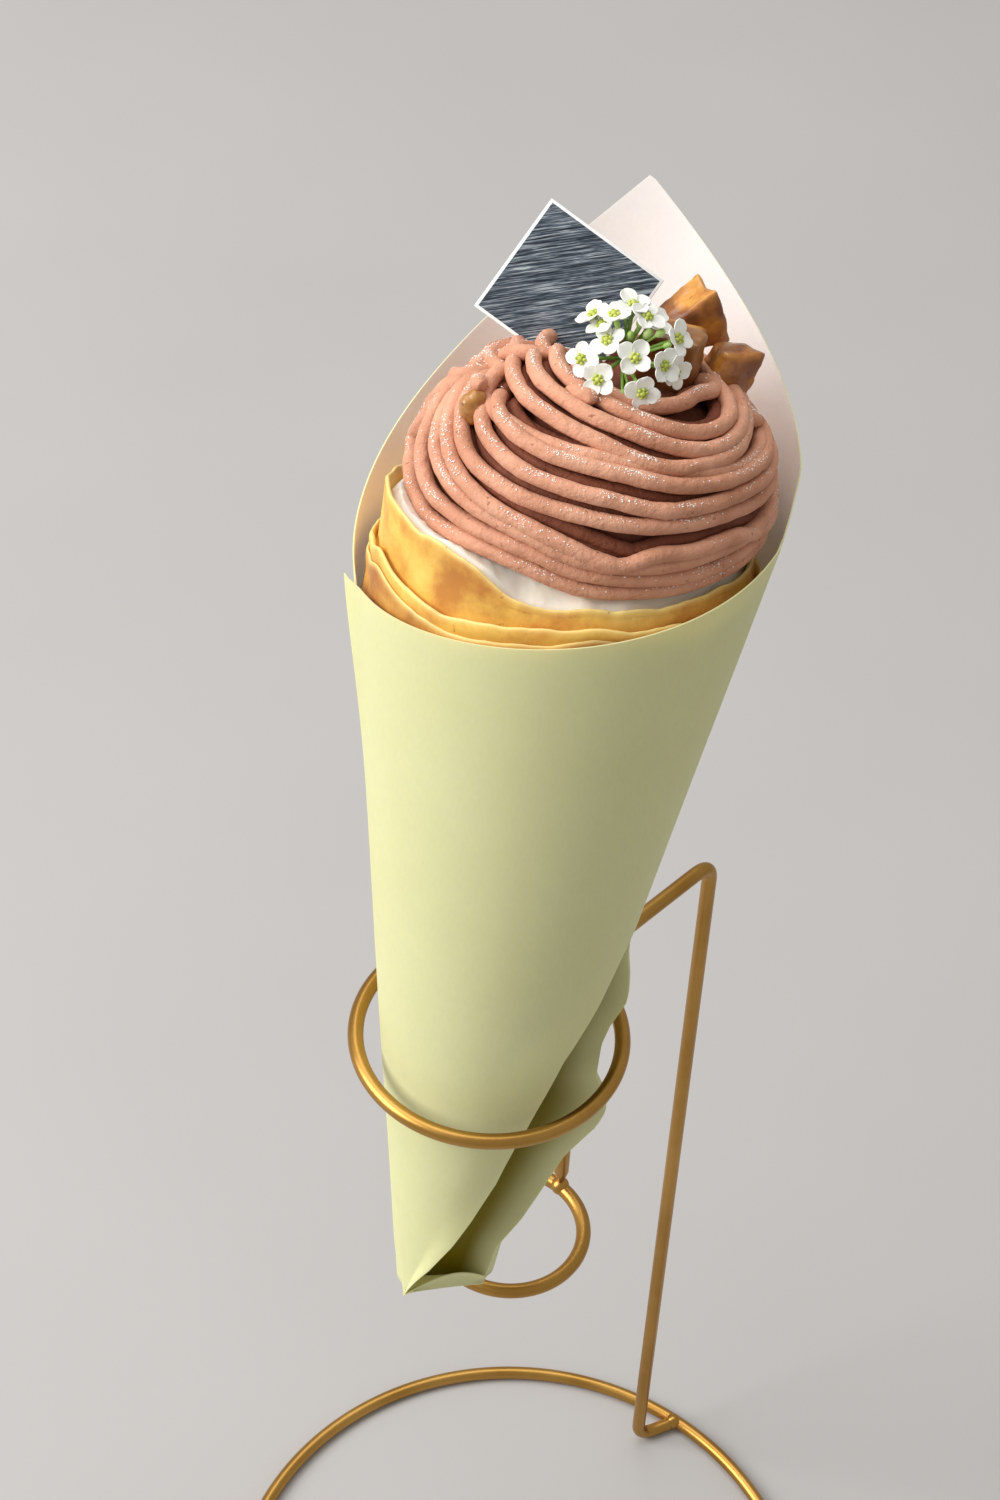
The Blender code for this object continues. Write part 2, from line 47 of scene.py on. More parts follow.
# Wire holder, standing on the floor round its own centre
holder = {
    "centre": Vector((0.0, -17.85, 0.0)),
    "wire": 1.5,
    "baseRadius": 64.1,
    "postFoot": Vector((26.7, 48.3, 1.5)),
    "jogEnd": Vector((35.4, 53.1, 1.5)),
    "ringCentre": Vector((-14.8, 1.2, 205.7)),
    "ringRadius": 25.0,
    "lowerCentre": Vector((-8.3, 8.6, 135.2)),
    "lowerRadius": 15.2,
    "bend": 5.0,
    "sides": 24,
    "bead": 1.85,
}

# The cone's own axes: x to the right, y to the back, z up along the cone
cone = {
    "tip": Vector((-24.5, -39.1, 101.7)),
    "axis": Vector((0.079, 0.363, 0.928)),
    "halfAngle": radians(9.97),
    "apexTurn": radians(11.7),
}
slope = tan(cone["halfAngle"])
axisWay = cone["axis"].normalized()
backWay = (Vector((0, 1, 0)) - axisWay * axisWay.y).normalized()
rightWay = backWay.cross(axisWay)
coneFrame = (Matrix.Translation((holder["centre"] + cone["tip"]) * mm)
             @ Matrix((rightWay, backWay, axisWay)).transposed().to_4x4()
             @ Matrix.Scale(mm, 4))
floorFrame = Matrix.Scale(mm, 4)


# Colour and node helpers
def tone(code):
    # A colour from its code, or a grey from a number
    if not isinstance(code, str):
        return (code, code, code, 1.0)
    parts = [int(code[i:i + 2], 16) / 255 for i in (0, 2, 4)]
    return (*[c / 12.92 if c <= 0.04045 else ((c + 0.055) / 1.055) ** 2.4 for c in parts], 1.0)


def setShader(mat, values):
    for name, value in values.items():
        mat.node_tree.nodes["Principled BSDF"].inputs[name].default_value = value


def placeNode(mat, scale=(1, 1, 1)):
    tree = mat.node_tree
    mapping = tree.nodes.new("ShaderNodeMapping")
    mapping.inputs["Scale"].default_value = scale
    coords = tree.nodes.new("ShaderNodeTexCoord")
    tree.links.new(coords.outputs["Object"], mapping.inputs["Vector"])
    return mapping.outputs["Vector"]


def newMaterial(name, rough, metal=0.0):
    # Its patterns read the first mapping node unless they are given another place.
    mat = bpy.data.materials.new(name)
    mat.use_nodes = True
    setShader(mat, {"Roughness": rough, "Metallic": metal})
    placeNode(mat)
    return mat


def noiseNode(mat, size, detail, rough=0.55, where=None):
    tree = mat.node_tree
    node = tree.nodes.new("ShaderNodeTexNoise")
    node.inputs["Scale"].default_value = size
    node.inputs["Detail"].default_value = detail
    node.inputs["Roughness"].default_value = rough
    tree.links.new(where or tree.nodes["Mapping"].outputs["Vector"], node.inputs["Vector"])
    return node.outputs["Fac"]


def rampNode(mat, source, stops):
    node = mat.node_tree.nodes.new("ShaderNodeValToRGB")
    mat.node_tree.links.new(source, node.inputs["Fac"])
    marks = node.color_ramp.elements
    marks[0].position, marks[1].position = stops[0][0], stops[-1][0]
    marks[0].color, marks[1].color = tone(stops[0][1]), tone(stops[-1][1])
    for place, colour in stops[1:-1]:
        marks.new(place).color = tone(colour)
    return node.outputs["Color"]


def mixNode(mat, amount, first, second, blend="MIX"):
    # Each input is a node's output, a number or a colour code.
    node = mat.node_tree.nodes.new("ShaderNodeMix")
    node.data_type = "RGBA"
    node.blend_type = blend
    for value, socket in ((amount, node.inputs["Factor"]), (first, node.inputs[6]),
                          (second, node.inputs[7])):
        if isinstance(value, (float, str)):
            socket.default_value = tone(value) if isinstance(value, str) else value
        else:
            mat.node_tree.links.new(value, socket)
    return node.outputs[2]


def specks(mat, colour, amount, size, detail, low, high, code):
    # Dark specks multiplied over a colour
    mask = rampNode(mat, noiseNode(mat, size, detail), [(low, "FFFFFF"), (high, code)])
    return mixNode(mat, amount, colour, mask, "MULTIPLY")


def shareNode(mat, name):
    # A share painted on the mesh's vertices
    node = mat.node_tree.nodes.new("ShaderNodeAttribute")
    node.attribute_name = name
    return node.outputs["Fac"]


def feed(mat, name, source):
    mat.node_tree.links.new(source, mat.node_tree.nodes["Principled BSDF"].inputs[name])


def bumps(mat, *layers):
    # Each layer is a height, a strength and a depth in millimetres.
    before = None
    for height, strength, depth in layers:
        node = mat.node_tree.nodes.new("ShaderNodeBump")
        node.inputs["Strength"].default_value = strength
        node.inputs["Distance"].default_value = depth * mm
        mat.node_tree.links.new(height, node.inputs["Height"])
        if before:
            mat.node_tree.links.new(before, node.inputs["Normal"])
        before = node.outputs["Normal"]
    feed(mat, "Normal", before)


def softLight(mat, weight, radius, scale):
    setShader(mat, {"Subsurface Weight": weight, "Subsurface Radius": radius,
                    "Subsurface Scale": scale})


# Satin gold wire with fine drawing grain
def makeGold():
    mat = newMaterial("satinGold", 0.34, 1.0)
    cloud = noiseNode(mat, 60, 3)
    feed(mat, "Base Color", rampNode(mat, cloud, [(0.3, "A87C3A"), (0.7, "BE9450")]))
    feed(mat, "Roughness", rampNode(mat, cloud, [(0.2, 0.28), (0.8, 0.40)]))
    bumps(mat, (noiseNode(mat, 900, 3), 0.12, 0.05))
    return mat


# Smooth card-like paper, with a deep colour painted as shade where the fold share is high
def makePaper(name, low, high, rough, deep, glow):
    mat = newMaterial(name, rough)
    fibre = noiseNode(mat, 1500, 5, 0.65, placeNode(mat, (1, 1, 0.35)))
    colour = rampNode(mat, noiseNode(mat, 35, 3), [(0.3, low), (0.7, high)])
    colour = mixNode(mat, 0.05, colour, rampNode(mat, fibre, [(0.3, 0.3), (0.7, 1.0)]), "MULTIPLY")
    # The fold share mixes in the deep colour, painted shade in the recess between the sheets
    feed(mat, "Base Color", mixNode(mat, shareNode(mat, "fold"), colour, deep))
    setShader(mat, {"Specular IOR Level": 0.25})
    softLight(mat, 0.3, glow, 1.0)
    bumps(mat, (fibre, 0.10, 0.05))
    return mat


# Pan-baked crepe: golden with brown mottling, darker where the baked share is high
def makeCrepe():
    mat = newMaterial("bakedCrepe", 0.5)
    patch = noiseNode(mat, 62, 6, 0.66)
    golden = rampNode(mat, patch, [(0.36, "F6D06C"), (0.50, "F0C056"), (0.66, "D68F3C")])
    brown = rampNode(mat, patch, [(0.36, "CE8E3C"), (0.50, "A8602A"), (0.64, "743A14")])
    colour = mixNode(mat, shareNode(mat, "baked"), golden, brown)
    colour = mixNode(mat, shareNode(mat, "edge"), colour, "F2D68A")
    feed(mat, "Base Color", specks(mat, colour, 0.5, 650, 2, 0.70, 0.78, "9A6430"))
    softLight(mat, 0.15, (0.004, 0.002, 0.0008), 0.5)
    bumps(mat, (patch, 0.35, 0.5), (noiseNode(mat, 420, 4, 0.6), 0.3, 0.2))
    return mat


def makeCream():
    mat = newMaterial("whippedCream", 0.42)
    cloud = noiseNode(mat, 160, 4)
    feed(mat, "Base Color", rampNode(mat, cloud, [(0.3, "FAF3E2"), (0.7, "FFFCF4")]))
    softLight(mat, 0.3, (0.003, 0.002, 0.0015), 0.6)
    bumps(mat, (cloud, 0.4, 0.6), (noiseNode(mat, 700, 3), 0.25, 0.15))
    return mat


# Piped chestnut cream: fine grain, small pits and darker flecks
def makeChestnutCream(name, low, middle, high):
    mat = newMaterial(name, 0.72)
    colour = rampNode(mat, noiseNode(mat, 110, 4), [(0.28, low), (0.5, middle), (0.74, high)])
    feed(mat, "Base Color", specks(mat, colour, 0.55, 900, 2, 0.66, 0.74, "8A5238"))
    setShader(mat, {"Specular IOR Level": 0.25})
    softLight(mat, 0.12, (0.003, 0.0015, 0.001), 0.4)
    bumps(mat, (noiseNode(mat, 480, 4), 0.9, 0.55), (noiseNode(mat, 1100, 5, 0.62), 0.9, 0.30))
    return mat


def makeSugar():
    mat = newMaterial("icingSugar", 0.7)
    feed(mat, "Base Color", rampNode(mat, noiseNode(mat, 900, 2), [(0.3, "E9DDD6"), (0.7, "FFFDFA")]))
    return mat


# Syrup-glazed chestnut flesh, dark brown where the skin share is high
def makeChestnut():
    mat = newMaterial("glazedChestnut", 0.3)
    cloud = noiseNode(mat, 130, 5, 0.6)
    colour = rampNode(mat, cloud, [(0.32, "8E5220"), (0.46, "B87630"), (0.58, "D29642"),
                                   (0.72, "E2B062")])
    colour = specks(mat, colour, 0.6, 700, 3, 0.62, 0.72, "9A5A2A")
    feed(mat, "Base Color", mixNode(mat, shareNode(mat, "skin"), colour, "6E3A1E"))
    softLight(mat, 0.2, (0.004, 0.0015, 0.0006), 0.5)
    setShader(mat, {"Coat Weight": 0.45, "Coat Roughness": 0.18})
    bumps(mat, (cloud, 0.5, 0.6), (noiseNode(mat, 600, 3), 0.35, 0.2))
    return mat


def makePlant(name, low, high, rough=0.5, soft=0.25):
    mat = newMaterial(name, rough)
    vein = noiseNode(mat, 500, 3)
    feed(mat, "Base Color", rampNode(mat, vein, [(0.3, low), (0.7, high)]))
    softLight(mat, soft, (0.001, 0.001, 0.0008), 0.5)
    bumps(mat, (vein, 0.2, 0.1))
    return mat


# Printed foil, brushed along one direction
def makeFoil(lengthWay, crossWay):
    mat = newMaterial("brushedFoil", 0.42, 0.35)
    tree = mat.node_tree
    join = tree.nodes.new("ShaderNodeCombineXYZ")
    for way, scale, part in ((lengthWay, 42, "X"), (crossWay, 1350, "Y")):
        dot = tree.nodes.new("ShaderNodeVectorMath")
        dot.operation = "DOT_PRODUCT"
        tree.links.new(tree.nodes["Mapping"].outputs["Vector"], dot.inputs[0])
        dot.inputs[1].default_value = way * scale
        tree.links.new(dot.outputs["Value"], join.inputs[part])
    line = noiseNode(mat, 2.6, 3, 0.75, join.outputs["Vector"])
    broad = noiseNode(mat, 0.8, 2, 0.6, join.outputs["Vector"])
    streak = rampNode(mat, line, [(0.37, "1E2733"), (0.47, "4E5A68"), (0.54, "909CA9"),
                                  (0.62, "E6ECF0")])
    tint = rampNode(mat, broad, [(0.35, "8A929C"), (0.65, "F4F6F8")])
    cloud = rampNode(mat, noiseNode(mat, 110, 3), [(0.35, "9AA3AD"), (0.65, "FFFFFF")])
    colour = mixNode(mat, 0.75, streak, tint, "MULTIPLY")
    feed(mat, "Base Color", mixNode(mat, 0.5, colour, cloud, "MULTIPLY"))
    return mat


gold = makeGold()
# The deep colours are painted shade for the recess under the front sheet's free edge
paperGreen = makePaper("paleGreenPaper", "E0DFA2", "E5E4AA", 0.55, "7C6E00", (0.0022, 0.0019, 0.0006))
paperWhite = makePaper("whitePaperInside", "F4EBE5", "F9F2ED", 0.6, "C9B49A", (0.0024, 0.0017, 0.001))
crepeSkin = makeCrepe()
creamWhite = makeCream()
strandPaste = makeChestnutCream("chestnutPaste", "BC8468", "D2987C", "E0AA8E")
# A darker copy of the chestnut paste, painted shade for the second layer of strands and the core
paintedShadePaste = makeChestnutCream("chestnutPastePaintedShade", "6A3826", "7C4632", "8C543E")
sugarWhite = makeSugar()
chestnutGlaze = makeChestnut()
petalWhite = makePlant("petalWhite", "F1F4EC", "FBFCF8")
stamenGreen = makePlant("stamenGreen", "A4B43A", "CCD46A")
stemGreen = makePlant("stemGreen", "6F9A36", "93B955")
budGreen = makePlant("budGreen", "93B94E", "BED48A")
cardWhite = makePlant("cardWhiteEdge", "EEF1F3", "FAFBFC", 0.35, 0.0)
print("materials ready")


# Mesh helpers
def newPiece(bm, name, mats):
    mesh = bpy.data.meshes.new(name)
    bm.to_mesh(mesh)
    bm.free()
    for mat in mats:
        mesh.materials.append(mat)
    piece = bpy.data.objects.new(name, mesh)
    bpy.context.scene.collection.objects.link(piece)
    return piece


def finishPiece(bm, name, mats, nodes=(), matrix=coneFrame, fix=True, sharp=35):
    bmesh.ops.transform(bm, matrix=matrix, verts=bm.verts)
    if fix:
        turnOut(bm)
    piece = newPiece(bm, name, mats)
    piece.data.shade_smooth()
    piece.data.set_sharp_from_angle(angle=radians(sharp))
    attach(piece, "root")
    if nodes:
        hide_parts(*nodes)


def gridOf(across, along):
    # A flat grid whose vertices carry their share across and along as x and y.
    bm = bmesh.new()
    bmesh.ops.create_grid(bm, x_segments=across, y_segments=along, size=0.5)
    move(bm, (0.5, 0.5, 0))
    return bm


def ball(radius, fine):
    bm = bmesh.new()
    bmesh.ops.create_icosphere(bm, subdivisions=fine, radius=radius)
    return bm


def block(size):
    bm = bmesh.new()
    bmesh.ops.create_cube(bm, size=1.0)
    bmesh.ops.scale(bm, vec=size, verts=bm.verts)
    return bm


def move(bm, step):
    bmesh.ops.translate(bm, vec=step, verts=bm.verts)


def turnOut(bm):
    bmesh.ops.recalc_face_normals(bm, faces=bm.faces)


def thicken(bm, depth):
    turnOut(bm)
    bmesh.ops.solidify(bm, geom=bm.faces[:] + bm.edges[:] + bm.verts[:], thickness=depth)


def weld(bm, gap=1e-4):
    bmesh.ops.remove_doubles(bm, verts=bm.verts, dist=gap)


def polar(radius, turn, height, shift=0.0):
    # Turn 0 is the back, a quarter turn the right and half a turn the front.
    return Vector((shift + radius * sin(turn), radius * cos(turn), height))


def clamp(value):
    return min(1.0, max(0.0, value))


def smoothStep(low, high, value):
    share = clamp((value - low) / (high - low))
    return share * share * (3 - 2 * share)


def ringNoise(turn, size, height):
    # Noise that closes on itself round the axis
    return noise(Vector((sin(turn) * size, cos(turn) * size, height)))


def along(table, value):
    # Straight interpolation in a table of pairs
    if value <= table[0][0]:
        return table[0][1]
    for (x0, y0), (x1, y1) in zip(table, table[1:]):
        if value <= x1:
            return y0 + (y1 - y0) * (value - x0) / (x1 - x0)
    return table[-1][1]


def bow(start, middle, end, steps):
    # Points on a soft bend from start to end, pulled towards the middle
    shares = [k / steps for k in range(steps + 1)]
    return [start.lerp(middle, t).lerp(middle.lerp(end, t), t) for t in shares]


def facing(centre, way):
    return Matrix.Translation(centre) @ way.to_track_quat("Z", "Y").to_matrix().to_4x4()


def catmull(points, share):
    # Smooth curve through points, share from 0 to 1
    spans = len(points) - 1
    place = min(spans - 1e-6, max(0.0, share * spans))
    k = int(place)
    t = place - k
    p1, p2 = points[k], points[k + 1]
    p0 = points[k - 1] if k else p1 * 2 - p2
    p3 = points[k + 2] if k + 2 <= spans else p2 * 2 - p1
    return 0.5 * ((2 * p1) + (p2 - p0) * t + (2 * p0 - 5 * p1 + 4 * p2 - p3) * t * t
                  + (3 * p1 - p0 - 3 * p2 + p3) * t ** 3)


def tube(path, radius, sides, outward, wobble=0.0, seed=0, taper=2.0):
    # A round strand along a path, with its ends rounded off over the taper length
    rows = len(path) - 1
    bm = gridOf(rows, sides)
    lengths = [0.0]
    for a, b in zip(path, path[1:]):
        lengths.append(lengths[-1] + (b - a).length)
    frames = []
    for k, here in enumerate(path):
        way = (path[min(rows, k + 1)] - path[max(0, k - 1)]).normalized()
        up = outward(here)
        side = way.cross(up).normalized()
        frames.append((here, side, side.cross(way)))
    for vert in bm.verts:
        k = round(vert.co.x * rows)
        angle = vert.co.y * 2 * pi
        here, side, up = frames[k]
        size = radius
        if wobble:
            size *= 1 + wobble * noise(Vector((lengths[k] * 0.35, seed * 7.7, 0)))
            size *= 1 + wobble * 0.4 * noise(Vector((lengths[k] * 0.9, angle, seed * 3.1)))
        reach = min(lengths[k], lengths[-1] - lengths[k])
        if taper and reach < taper:
            size *= sqrt(max(0.0, 1 - (1 - reach / taper) ** 2))
        vert.co = here + side * size * cos(angle) + up * size * sin(angle)
    weld(bm)
    turnOut(bm)
    return bm


def joinInto(target, source):
    # Adds one bmesh to another through a spare mesh.
    spare = bpy.data.meshes.new("spare")
    source.to_mesh(spare)
    source.free()
    target.from_mesh(spare)
    bpy.data.meshes.remove(spare)


# Wire holder
def finishWire(bm, name, *nodes):
    finishPiece(bm, name, [gold], nodes, floorFrame)


def wireRing(name, centre, radius, node):
    bm = bmesh.new()
    bmesh.ops.create_circle(bm, segments=holder["sides"], radius=holder["wire"])
    bmesh.ops.rotate(bm, matrix=Matrix.Rotation(pi / 2, 3, "X"), verts=bm.verts)
    move(bm, (radius, 0, 0))
    bmesh.ops.spin(bm, geom=bm.verts[:] + bm.edges[:], cent=(0, 0, 0), axis=(0, 0, 1),
                   angle=2 * pi, steps=160, use_merge=True)
    weld(bm)
    move(bm, centre)
    finishWire(bm, name, node)


def roundedPath(corners, bend, steps=10, straight=6):
    path = [corners[0]]
    for before, corner, after in zip(corners, corners[1:], corners[2:]):
        start = corner + (before - corner).normalized() * bend
        end = corner + (after - corner).normalized() * bend
        last = path[-1]
        path += [last.lerp(start, k / straight) for k in range(1, straight)]
        path += bow(start, corner, end, steps)
    last = path[-1]
    path += [last.lerp(corners[-1], k / straight) for k in range(1, straight + 1)]
    return path


def buildHolder():
    middle, wire = holder["centre"], holder["wire"]
    sides, bead = holder["sides"], holder["bead"]
    ring = middle + holder["ringCentre"]
    wireRing("baseRing", middle + Vector((0, 0, wire)), holder["baseRadius"], "base_ring")
    wireRing("carryRing", ring, holder["ringRadius"], "upper_ring")
    wireRing("lowerRing", middle + holder["lowerCentre"], holder["lowerRadius"], "lower_ring")
    # Post from the base ring up to the carrying ring
    foot = middle + holder["postFoot"]
    jog = middle + holder["jogEnd"]
    reach = (jog - middle).xy.normalized() * (holder["baseRadius"] - 0.6)
    jog = middle + Vector((*reach, wire))
    top = Vector((foot.x, foot.y, ring.z))
    armWay = (top - ring).normalized()
    armEnd = ring + armWay * (holder["ringRadius"] + 0.4)
    turnUp = Vector((0.31, -0.84, 0.44))
    post = tube(roundedPath([jog, foot, top, armEnd], holder["bend"]), wire, sides,
                lambda p: turnUp, taper=0.6)
    finishWire(post, "postWire", "post")
    # Drop wire between the carrying ring and the small ring
    link = ring + armWay * holder["ringRadius"]
    low = Vector((link.x, link.y, holder["lowerCentre"].z - 0.4))
    high = Vector((link.x, link.y, ring.z + 0.2))
    drop = tube([low.lerp(high, k / 12) for k in range(13)], wire, sides,
                lambda p: Vector((1, 0, 0)), taper=0.6)
    finishWire(drop, "dropWire", "drop_link")
    # Small weld beads where the wires meet
    welds = bmesh.new()
    for spot, size in ((link + Vector((0, 0, -0.2)), bead + 0.10),
                       (low + Vector((0, 0, 0.9)), bead + 0.05),
                       (jog + Vector((0, 0, 0.42)), bead), (armEnd, bead)):
        bit = ball(size, 3)
        for vert in bit.verts:
            vert.co *= 1 + 0.05 * noise(vert.co * 0.9 + spot)
        move(bit, spot)
        joinInto(welds, bit)
    finishWire(welds, "weldBeads")


buildHolder()
print("holder ready")


# Paper sleeve: a front sheet over an under sheet, both rolled on the same cone
sleeve = {
    "foot": 57.0,
    "shoulder": 200.0,
    "recessTop": 138.0,
    "paper": 0.26,
    "edgeFront": 205.6,
    "edgeFrontTurn": 42.5,
    "edgeBack": 176.2,
    "edgeBackTurn": 47.3,
    "tuckTurn": 26,
    "sweep": 240,
    "hiddenShare": 0.08,
    "turnedShare": 0.25,
}
# Height, turn of the front sheet's free edge in degrees, and reach of the under sheet to the right
pocket = [(57, 230, 6.8), (66, 201, 8.2), (73, 184, 12.2), (79, 173, 14.7), (88, 159, 18.3),
          (95, 153, 23.4), (98, 151, 24.6), (101, 148, 24.4), (105, 146, 21.7), (112, 142, 21.6),
          (116, 140, 22.6), (121, 133, 24.9), (126, 124, 25.2), (132, 116, 24.0), (138, 110, 23.9)]
edgeTurns = [(height, turn) for height, turn, reach in pocket]
sideReach = [(height, reach) for height, turn, reach in pocket]
# Height and turn of the front sheet's left edge
leftTurns = [(57, 236), (68, 246), (80, 255), (103, 260), (205, 262)]


def sleeveEdge(turn):
    # Height of the sheet's straight cut edges, for a turn from -150 to 262 degrees
    flat = turn * sin(cone["halfAngle"])
    if turn > cone["apexTurn"]:
        slant = sleeve["edgeFront"] / cos(flat - radians(sleeve["edgeFrontTurn"]))
    else:
        slant = sleeve["edgeBack"] / cos(flat + radians(sleeve["edgeBackTurn"]))
    return slant * cos(cone["halfAngle"])


def sleeveCurl(turn, height):
    lean = max(0.0, cos(turn - cone["apexTurn"])) ** 2
    return lean * max(0.0, height - 215) ** 2 * 0.0006


def paperWave(turn, height):
    return 0.16 * ringNoise(turn, 1.2, height * 0.02)


def frontSheet():
    bm = gridOf(100, 130)
    foot, shoulder = sleeve["foot"], sleeve["shoulder"]
    for vert in bm.verts:
        share, rise = vert.co.x, vert.co.y
        row = foot + (shoulder - foot) * rise
        left, right = along(leftTurns, row), along(edgeTurns, row)
        turn = radians(left + (right - left) * share)
        height = row + rise ** 3 * (sleeveEdge(turn) - shoulder)
        radius = height * slope - 0.10 + paperWave(turn, height)
        free = smoothStep(0.7, 1.0, share) * smoothStep(140, 118, row)
        radius += 0.8 * free * sin(0.12 * row)
        corner = smoothStep(0.10, 0.0, share) * smoothStep(150, 205, height)
        radius += 1.6 * corner ** 2
        vert.co = polar(radius, turn, height)
    return bm


def underSweep(row):
    # How far the under sheet goes round the back, in degrees, always ending under the front sheet
    return min(sleeve["sweep"], 442 - along(edgeTurns, row))


def underSection(share, row):
    # Outline of the under sheet at one height: hidden fold, recess, right edge, then round the back
    hiddenShare, turnedShare = sleeve["hiddenShare"], sleeve["turnedShare"]
    radius = row * slope - 0.45
    opening = smoothStep(sleeve["recessTop"], 120, row)
    edge = radians(along(edgeTurns, row))
    hidden = edge + radians(sleeve["tuckTurn"])
    side = radians(90)
    deepShare = min(1.0, (row - sleeve["foot"]) / 40)
    deep = Vector((-1.0, -0.5, 0)).lerp(Vector((0.066, -0.018, 0)) * max(97, row), deepShare)
    deep = polar(radius - 0.1, (edge + side) / 2, 0).lerp(deep, opening)
    tip = Vector((along(sideReach, row), -0.06 * radius, 0))
    tip = polar(radius + 0.25, side, 0).lerp(tip, opening)
    if share < hiddenShare:
        part = share / hiddenShare
        arc = polar(radius - 0.2, hidden + ((edge + side) / 2 - hidden) * part, 0)
        return arc.lerp(polar(radius - 0.2, hidden, 0).lerp(deep, part), opening)
    if share < turnedShare:
        part = (share - hiddenShare) / (turnedShare - hiddenShare)
        swell = 0.9 * sin(pi * part) * opening
        return deep.lerp(tip, part) + Vector((-0.4, 1.0, 0)) * swell * sin(row * 0.11)
    part = (share - turnedShare) / (1 - turnedShare)
    turn = side - radians(underSweep(row)) * part
    pull = (tip.x - radius - 0.25) * smoothStep(0.15, 0.0, part)
    hide = 0.35 * smoothStep(0.70, 0.82, part)
    return polar(radius + 0.25 + pull - hide, turn, 0)


def underSheet():
    bm = gridOf(230, 120)
    recessShadeLayer = bm.verts.layers.float.new("fold")
    foot, shoulder, turned = sleeve["foot"], sleeve["shoulder"], sleeve["turnedShare"]
    for vert in bm.verts:
        share, rise = vert.co.x, vert.co.y
        row = foot + 1 + (shoulder - 1 - foot) * rise
        spot = underSection(share, row)
        turn = atan2(spot.x, spot.y)
        if share > turned:
            turn = radians(90 - underSweep(row) * (share - turned) / (1 - turned))
        elif turn < 0:
            turn += 2 * pi
        top = sleeveEdge(turn) - 4.0 * smoothStep(0.27, 0.25, share)
        top -= 3.0 * smoothStep(0.83, 0.87, share)
        height = row + rise ** 3 * (top - shoulder)
        grow = (height - row) * slope + sleeveCurl(turn, height) + paperWave(turn, height)
        spot *= 1 + grow / max(1.0, spot.length)
        # The fold share marks the recess behind the front sheet's free edge for painted shade
        vert[recessShadeLayer] = smoothStep(0.26, 0.13, share) * smoothStep(141, 128, row)
        vert.co = Vector((spot.x, spot.y, height))
    return bm


# Lower end of the front sheet, from its left tip to the right
foldStart = Vector((-8.4, -6.4, 56.6))
foldEnd = Vector((6.8, -1.2, 57.6))


def bottomFold():
    # The lower end folded over itself in a narrow lip
    bm = gridOf(30, 8)
    for vert in bm.verts:
        share, rise = vert.co.x, vert.co.y
        width = 4.4 * sin(pi * min(1.0, share * 0.8)) + 0.25
        spot = foldStart.lerp(foldEnd, share) + Vector((0.05, -0.30, 0.95)) * width * rise
        spot.y += 0.8 * sin(pi * rise) - 0.5 * rise
        spot.z += 0.4 * sin(pi * share)
        vert.co = spot
    return bm


def bottomPlug():
    # Closes the folded end between the two sheets.
    bm = gridOf(26, 8)
    for vert in bm.verts:
        share, rise = vert.co.x, vert.co.y
        near = foldStart.lerp(foldEnd, share)
        near.z = 57.0 + 0.8 * share
        far = underSection(0.25 + 0.75 * (1 - share), 58.5)
        vert.co = near.lerp(Vector((far.x, far.y, 58.0)), rise)
        vert.co.z += 1.2 * sin(pi * rise)
    return bm


def paintInside(bm):
    # Above the recess, faces that look towards the axis of the cone are the white side.
    for face in bm.faces:
        middle = face.calc_center_median()
        outwards = Vector((middle.x, middle.y, 0)).normalized()
        face.material_index = 1 if face.normal.dot(outwards) < -0.2 and middle.z > 140 else 0


def buildSleeve():
    whole = bmesh.new()
    for sheet in (frontSheet(), underSheet(), bottomFold(), bottomPlug()):
        weld(sheet)
        bmesh.ops.dissolve_degenerate(sheet, edges=sheet.edges, dist=1e-4)
        thicken(sheet, sleeve["paper"])
        turnOut(sheet)
        joinInto(whole, sheet)
    whole.normal_update()
    paintInside(whole)
    finishPiece(whole, "paperSleeve", [paperGreen, paperWhite], ["paper_cone"],
                fix=False, sharp=50)


buildSleeve()
print("sleeve ready")


# Crepe: a baked sheet wound round the filling, with its crest, an outer fold and a browned layer
crepe = {
    "foot": 141,
    "low": 168,
    "around": 360,
    "fine": 3,
    "gap": 0.25,
    "standOff": 1.9,
}
# Height of the crest and of the outer fold at each turn in degrees
wallTable = [(0, 218), (60, 217), (90, 215.8), (120, 214.6), (139, 213.9), (156, 213.1), (172, 212.5),
             (190, 211.9), (201, 214), (210, 217.2), (222, 219), (232, 219.4), (241, 221.2),
             (254, 221.6), (266, 220.6), (280, 218.6), (300, 217.6), (330, 217.4), (360, 218)]
foldTable = [(0, 210.5), (60, 212), (90, 212), (120, 211.5), (150, 210.5), (179, 209.5),
             (197, 208.2), (209, 206.6), (218, 207.3), (232, 208.5), (238, 210.3), (243, 211.8),
             (252, 211.2), (262, 209.6), (276, 208.4), (300, 208.6), (330, 209.6), (360, 210.5)]


def softTable(table, turn):
    # Table value averaged over a few degrees, so that it has no corners
    return sum(along(table, (toDegrees(turn) + step) % 360) for step in (-4, -2, 0, 2, 4)) / 5


def outsideRadius(height):
    return height * slope - crepe["gap"] - 0.95 / cos(cone["halfAngle"])


def wallTop(turn):
    return softTable(wallTable, turn) + 0.25 * sin(9 * turn) + 0.2 * sin(23 * turn + 1)


def foldTop(turn):
    return softTable(foldTable, turn) + 0.25 * sin(11 * turn) + 0.2 * sin(19 * turn + 2)


def leftShare(turn):
    # The roll stands off the paper on its left side.
    degrees = toDegrees(turn) % 360
    return smoothStep(236, 264, degrees) * smoothStep(350, 305, degrees)


def foldRadius(turn):
    wave = 0.15 * sin(7 * turn + 1.1)
    return outsideRadius(foldTop(turn)) - 0.7 + wave - crepe["standOff"] * leftShare(turn)


def wallRadius(turn):
    return foldRadius(turn) - 2.4 + (wallTop(turn) - foldTop(turn)) * 0.15 - 0.8 * leftShare(turn)


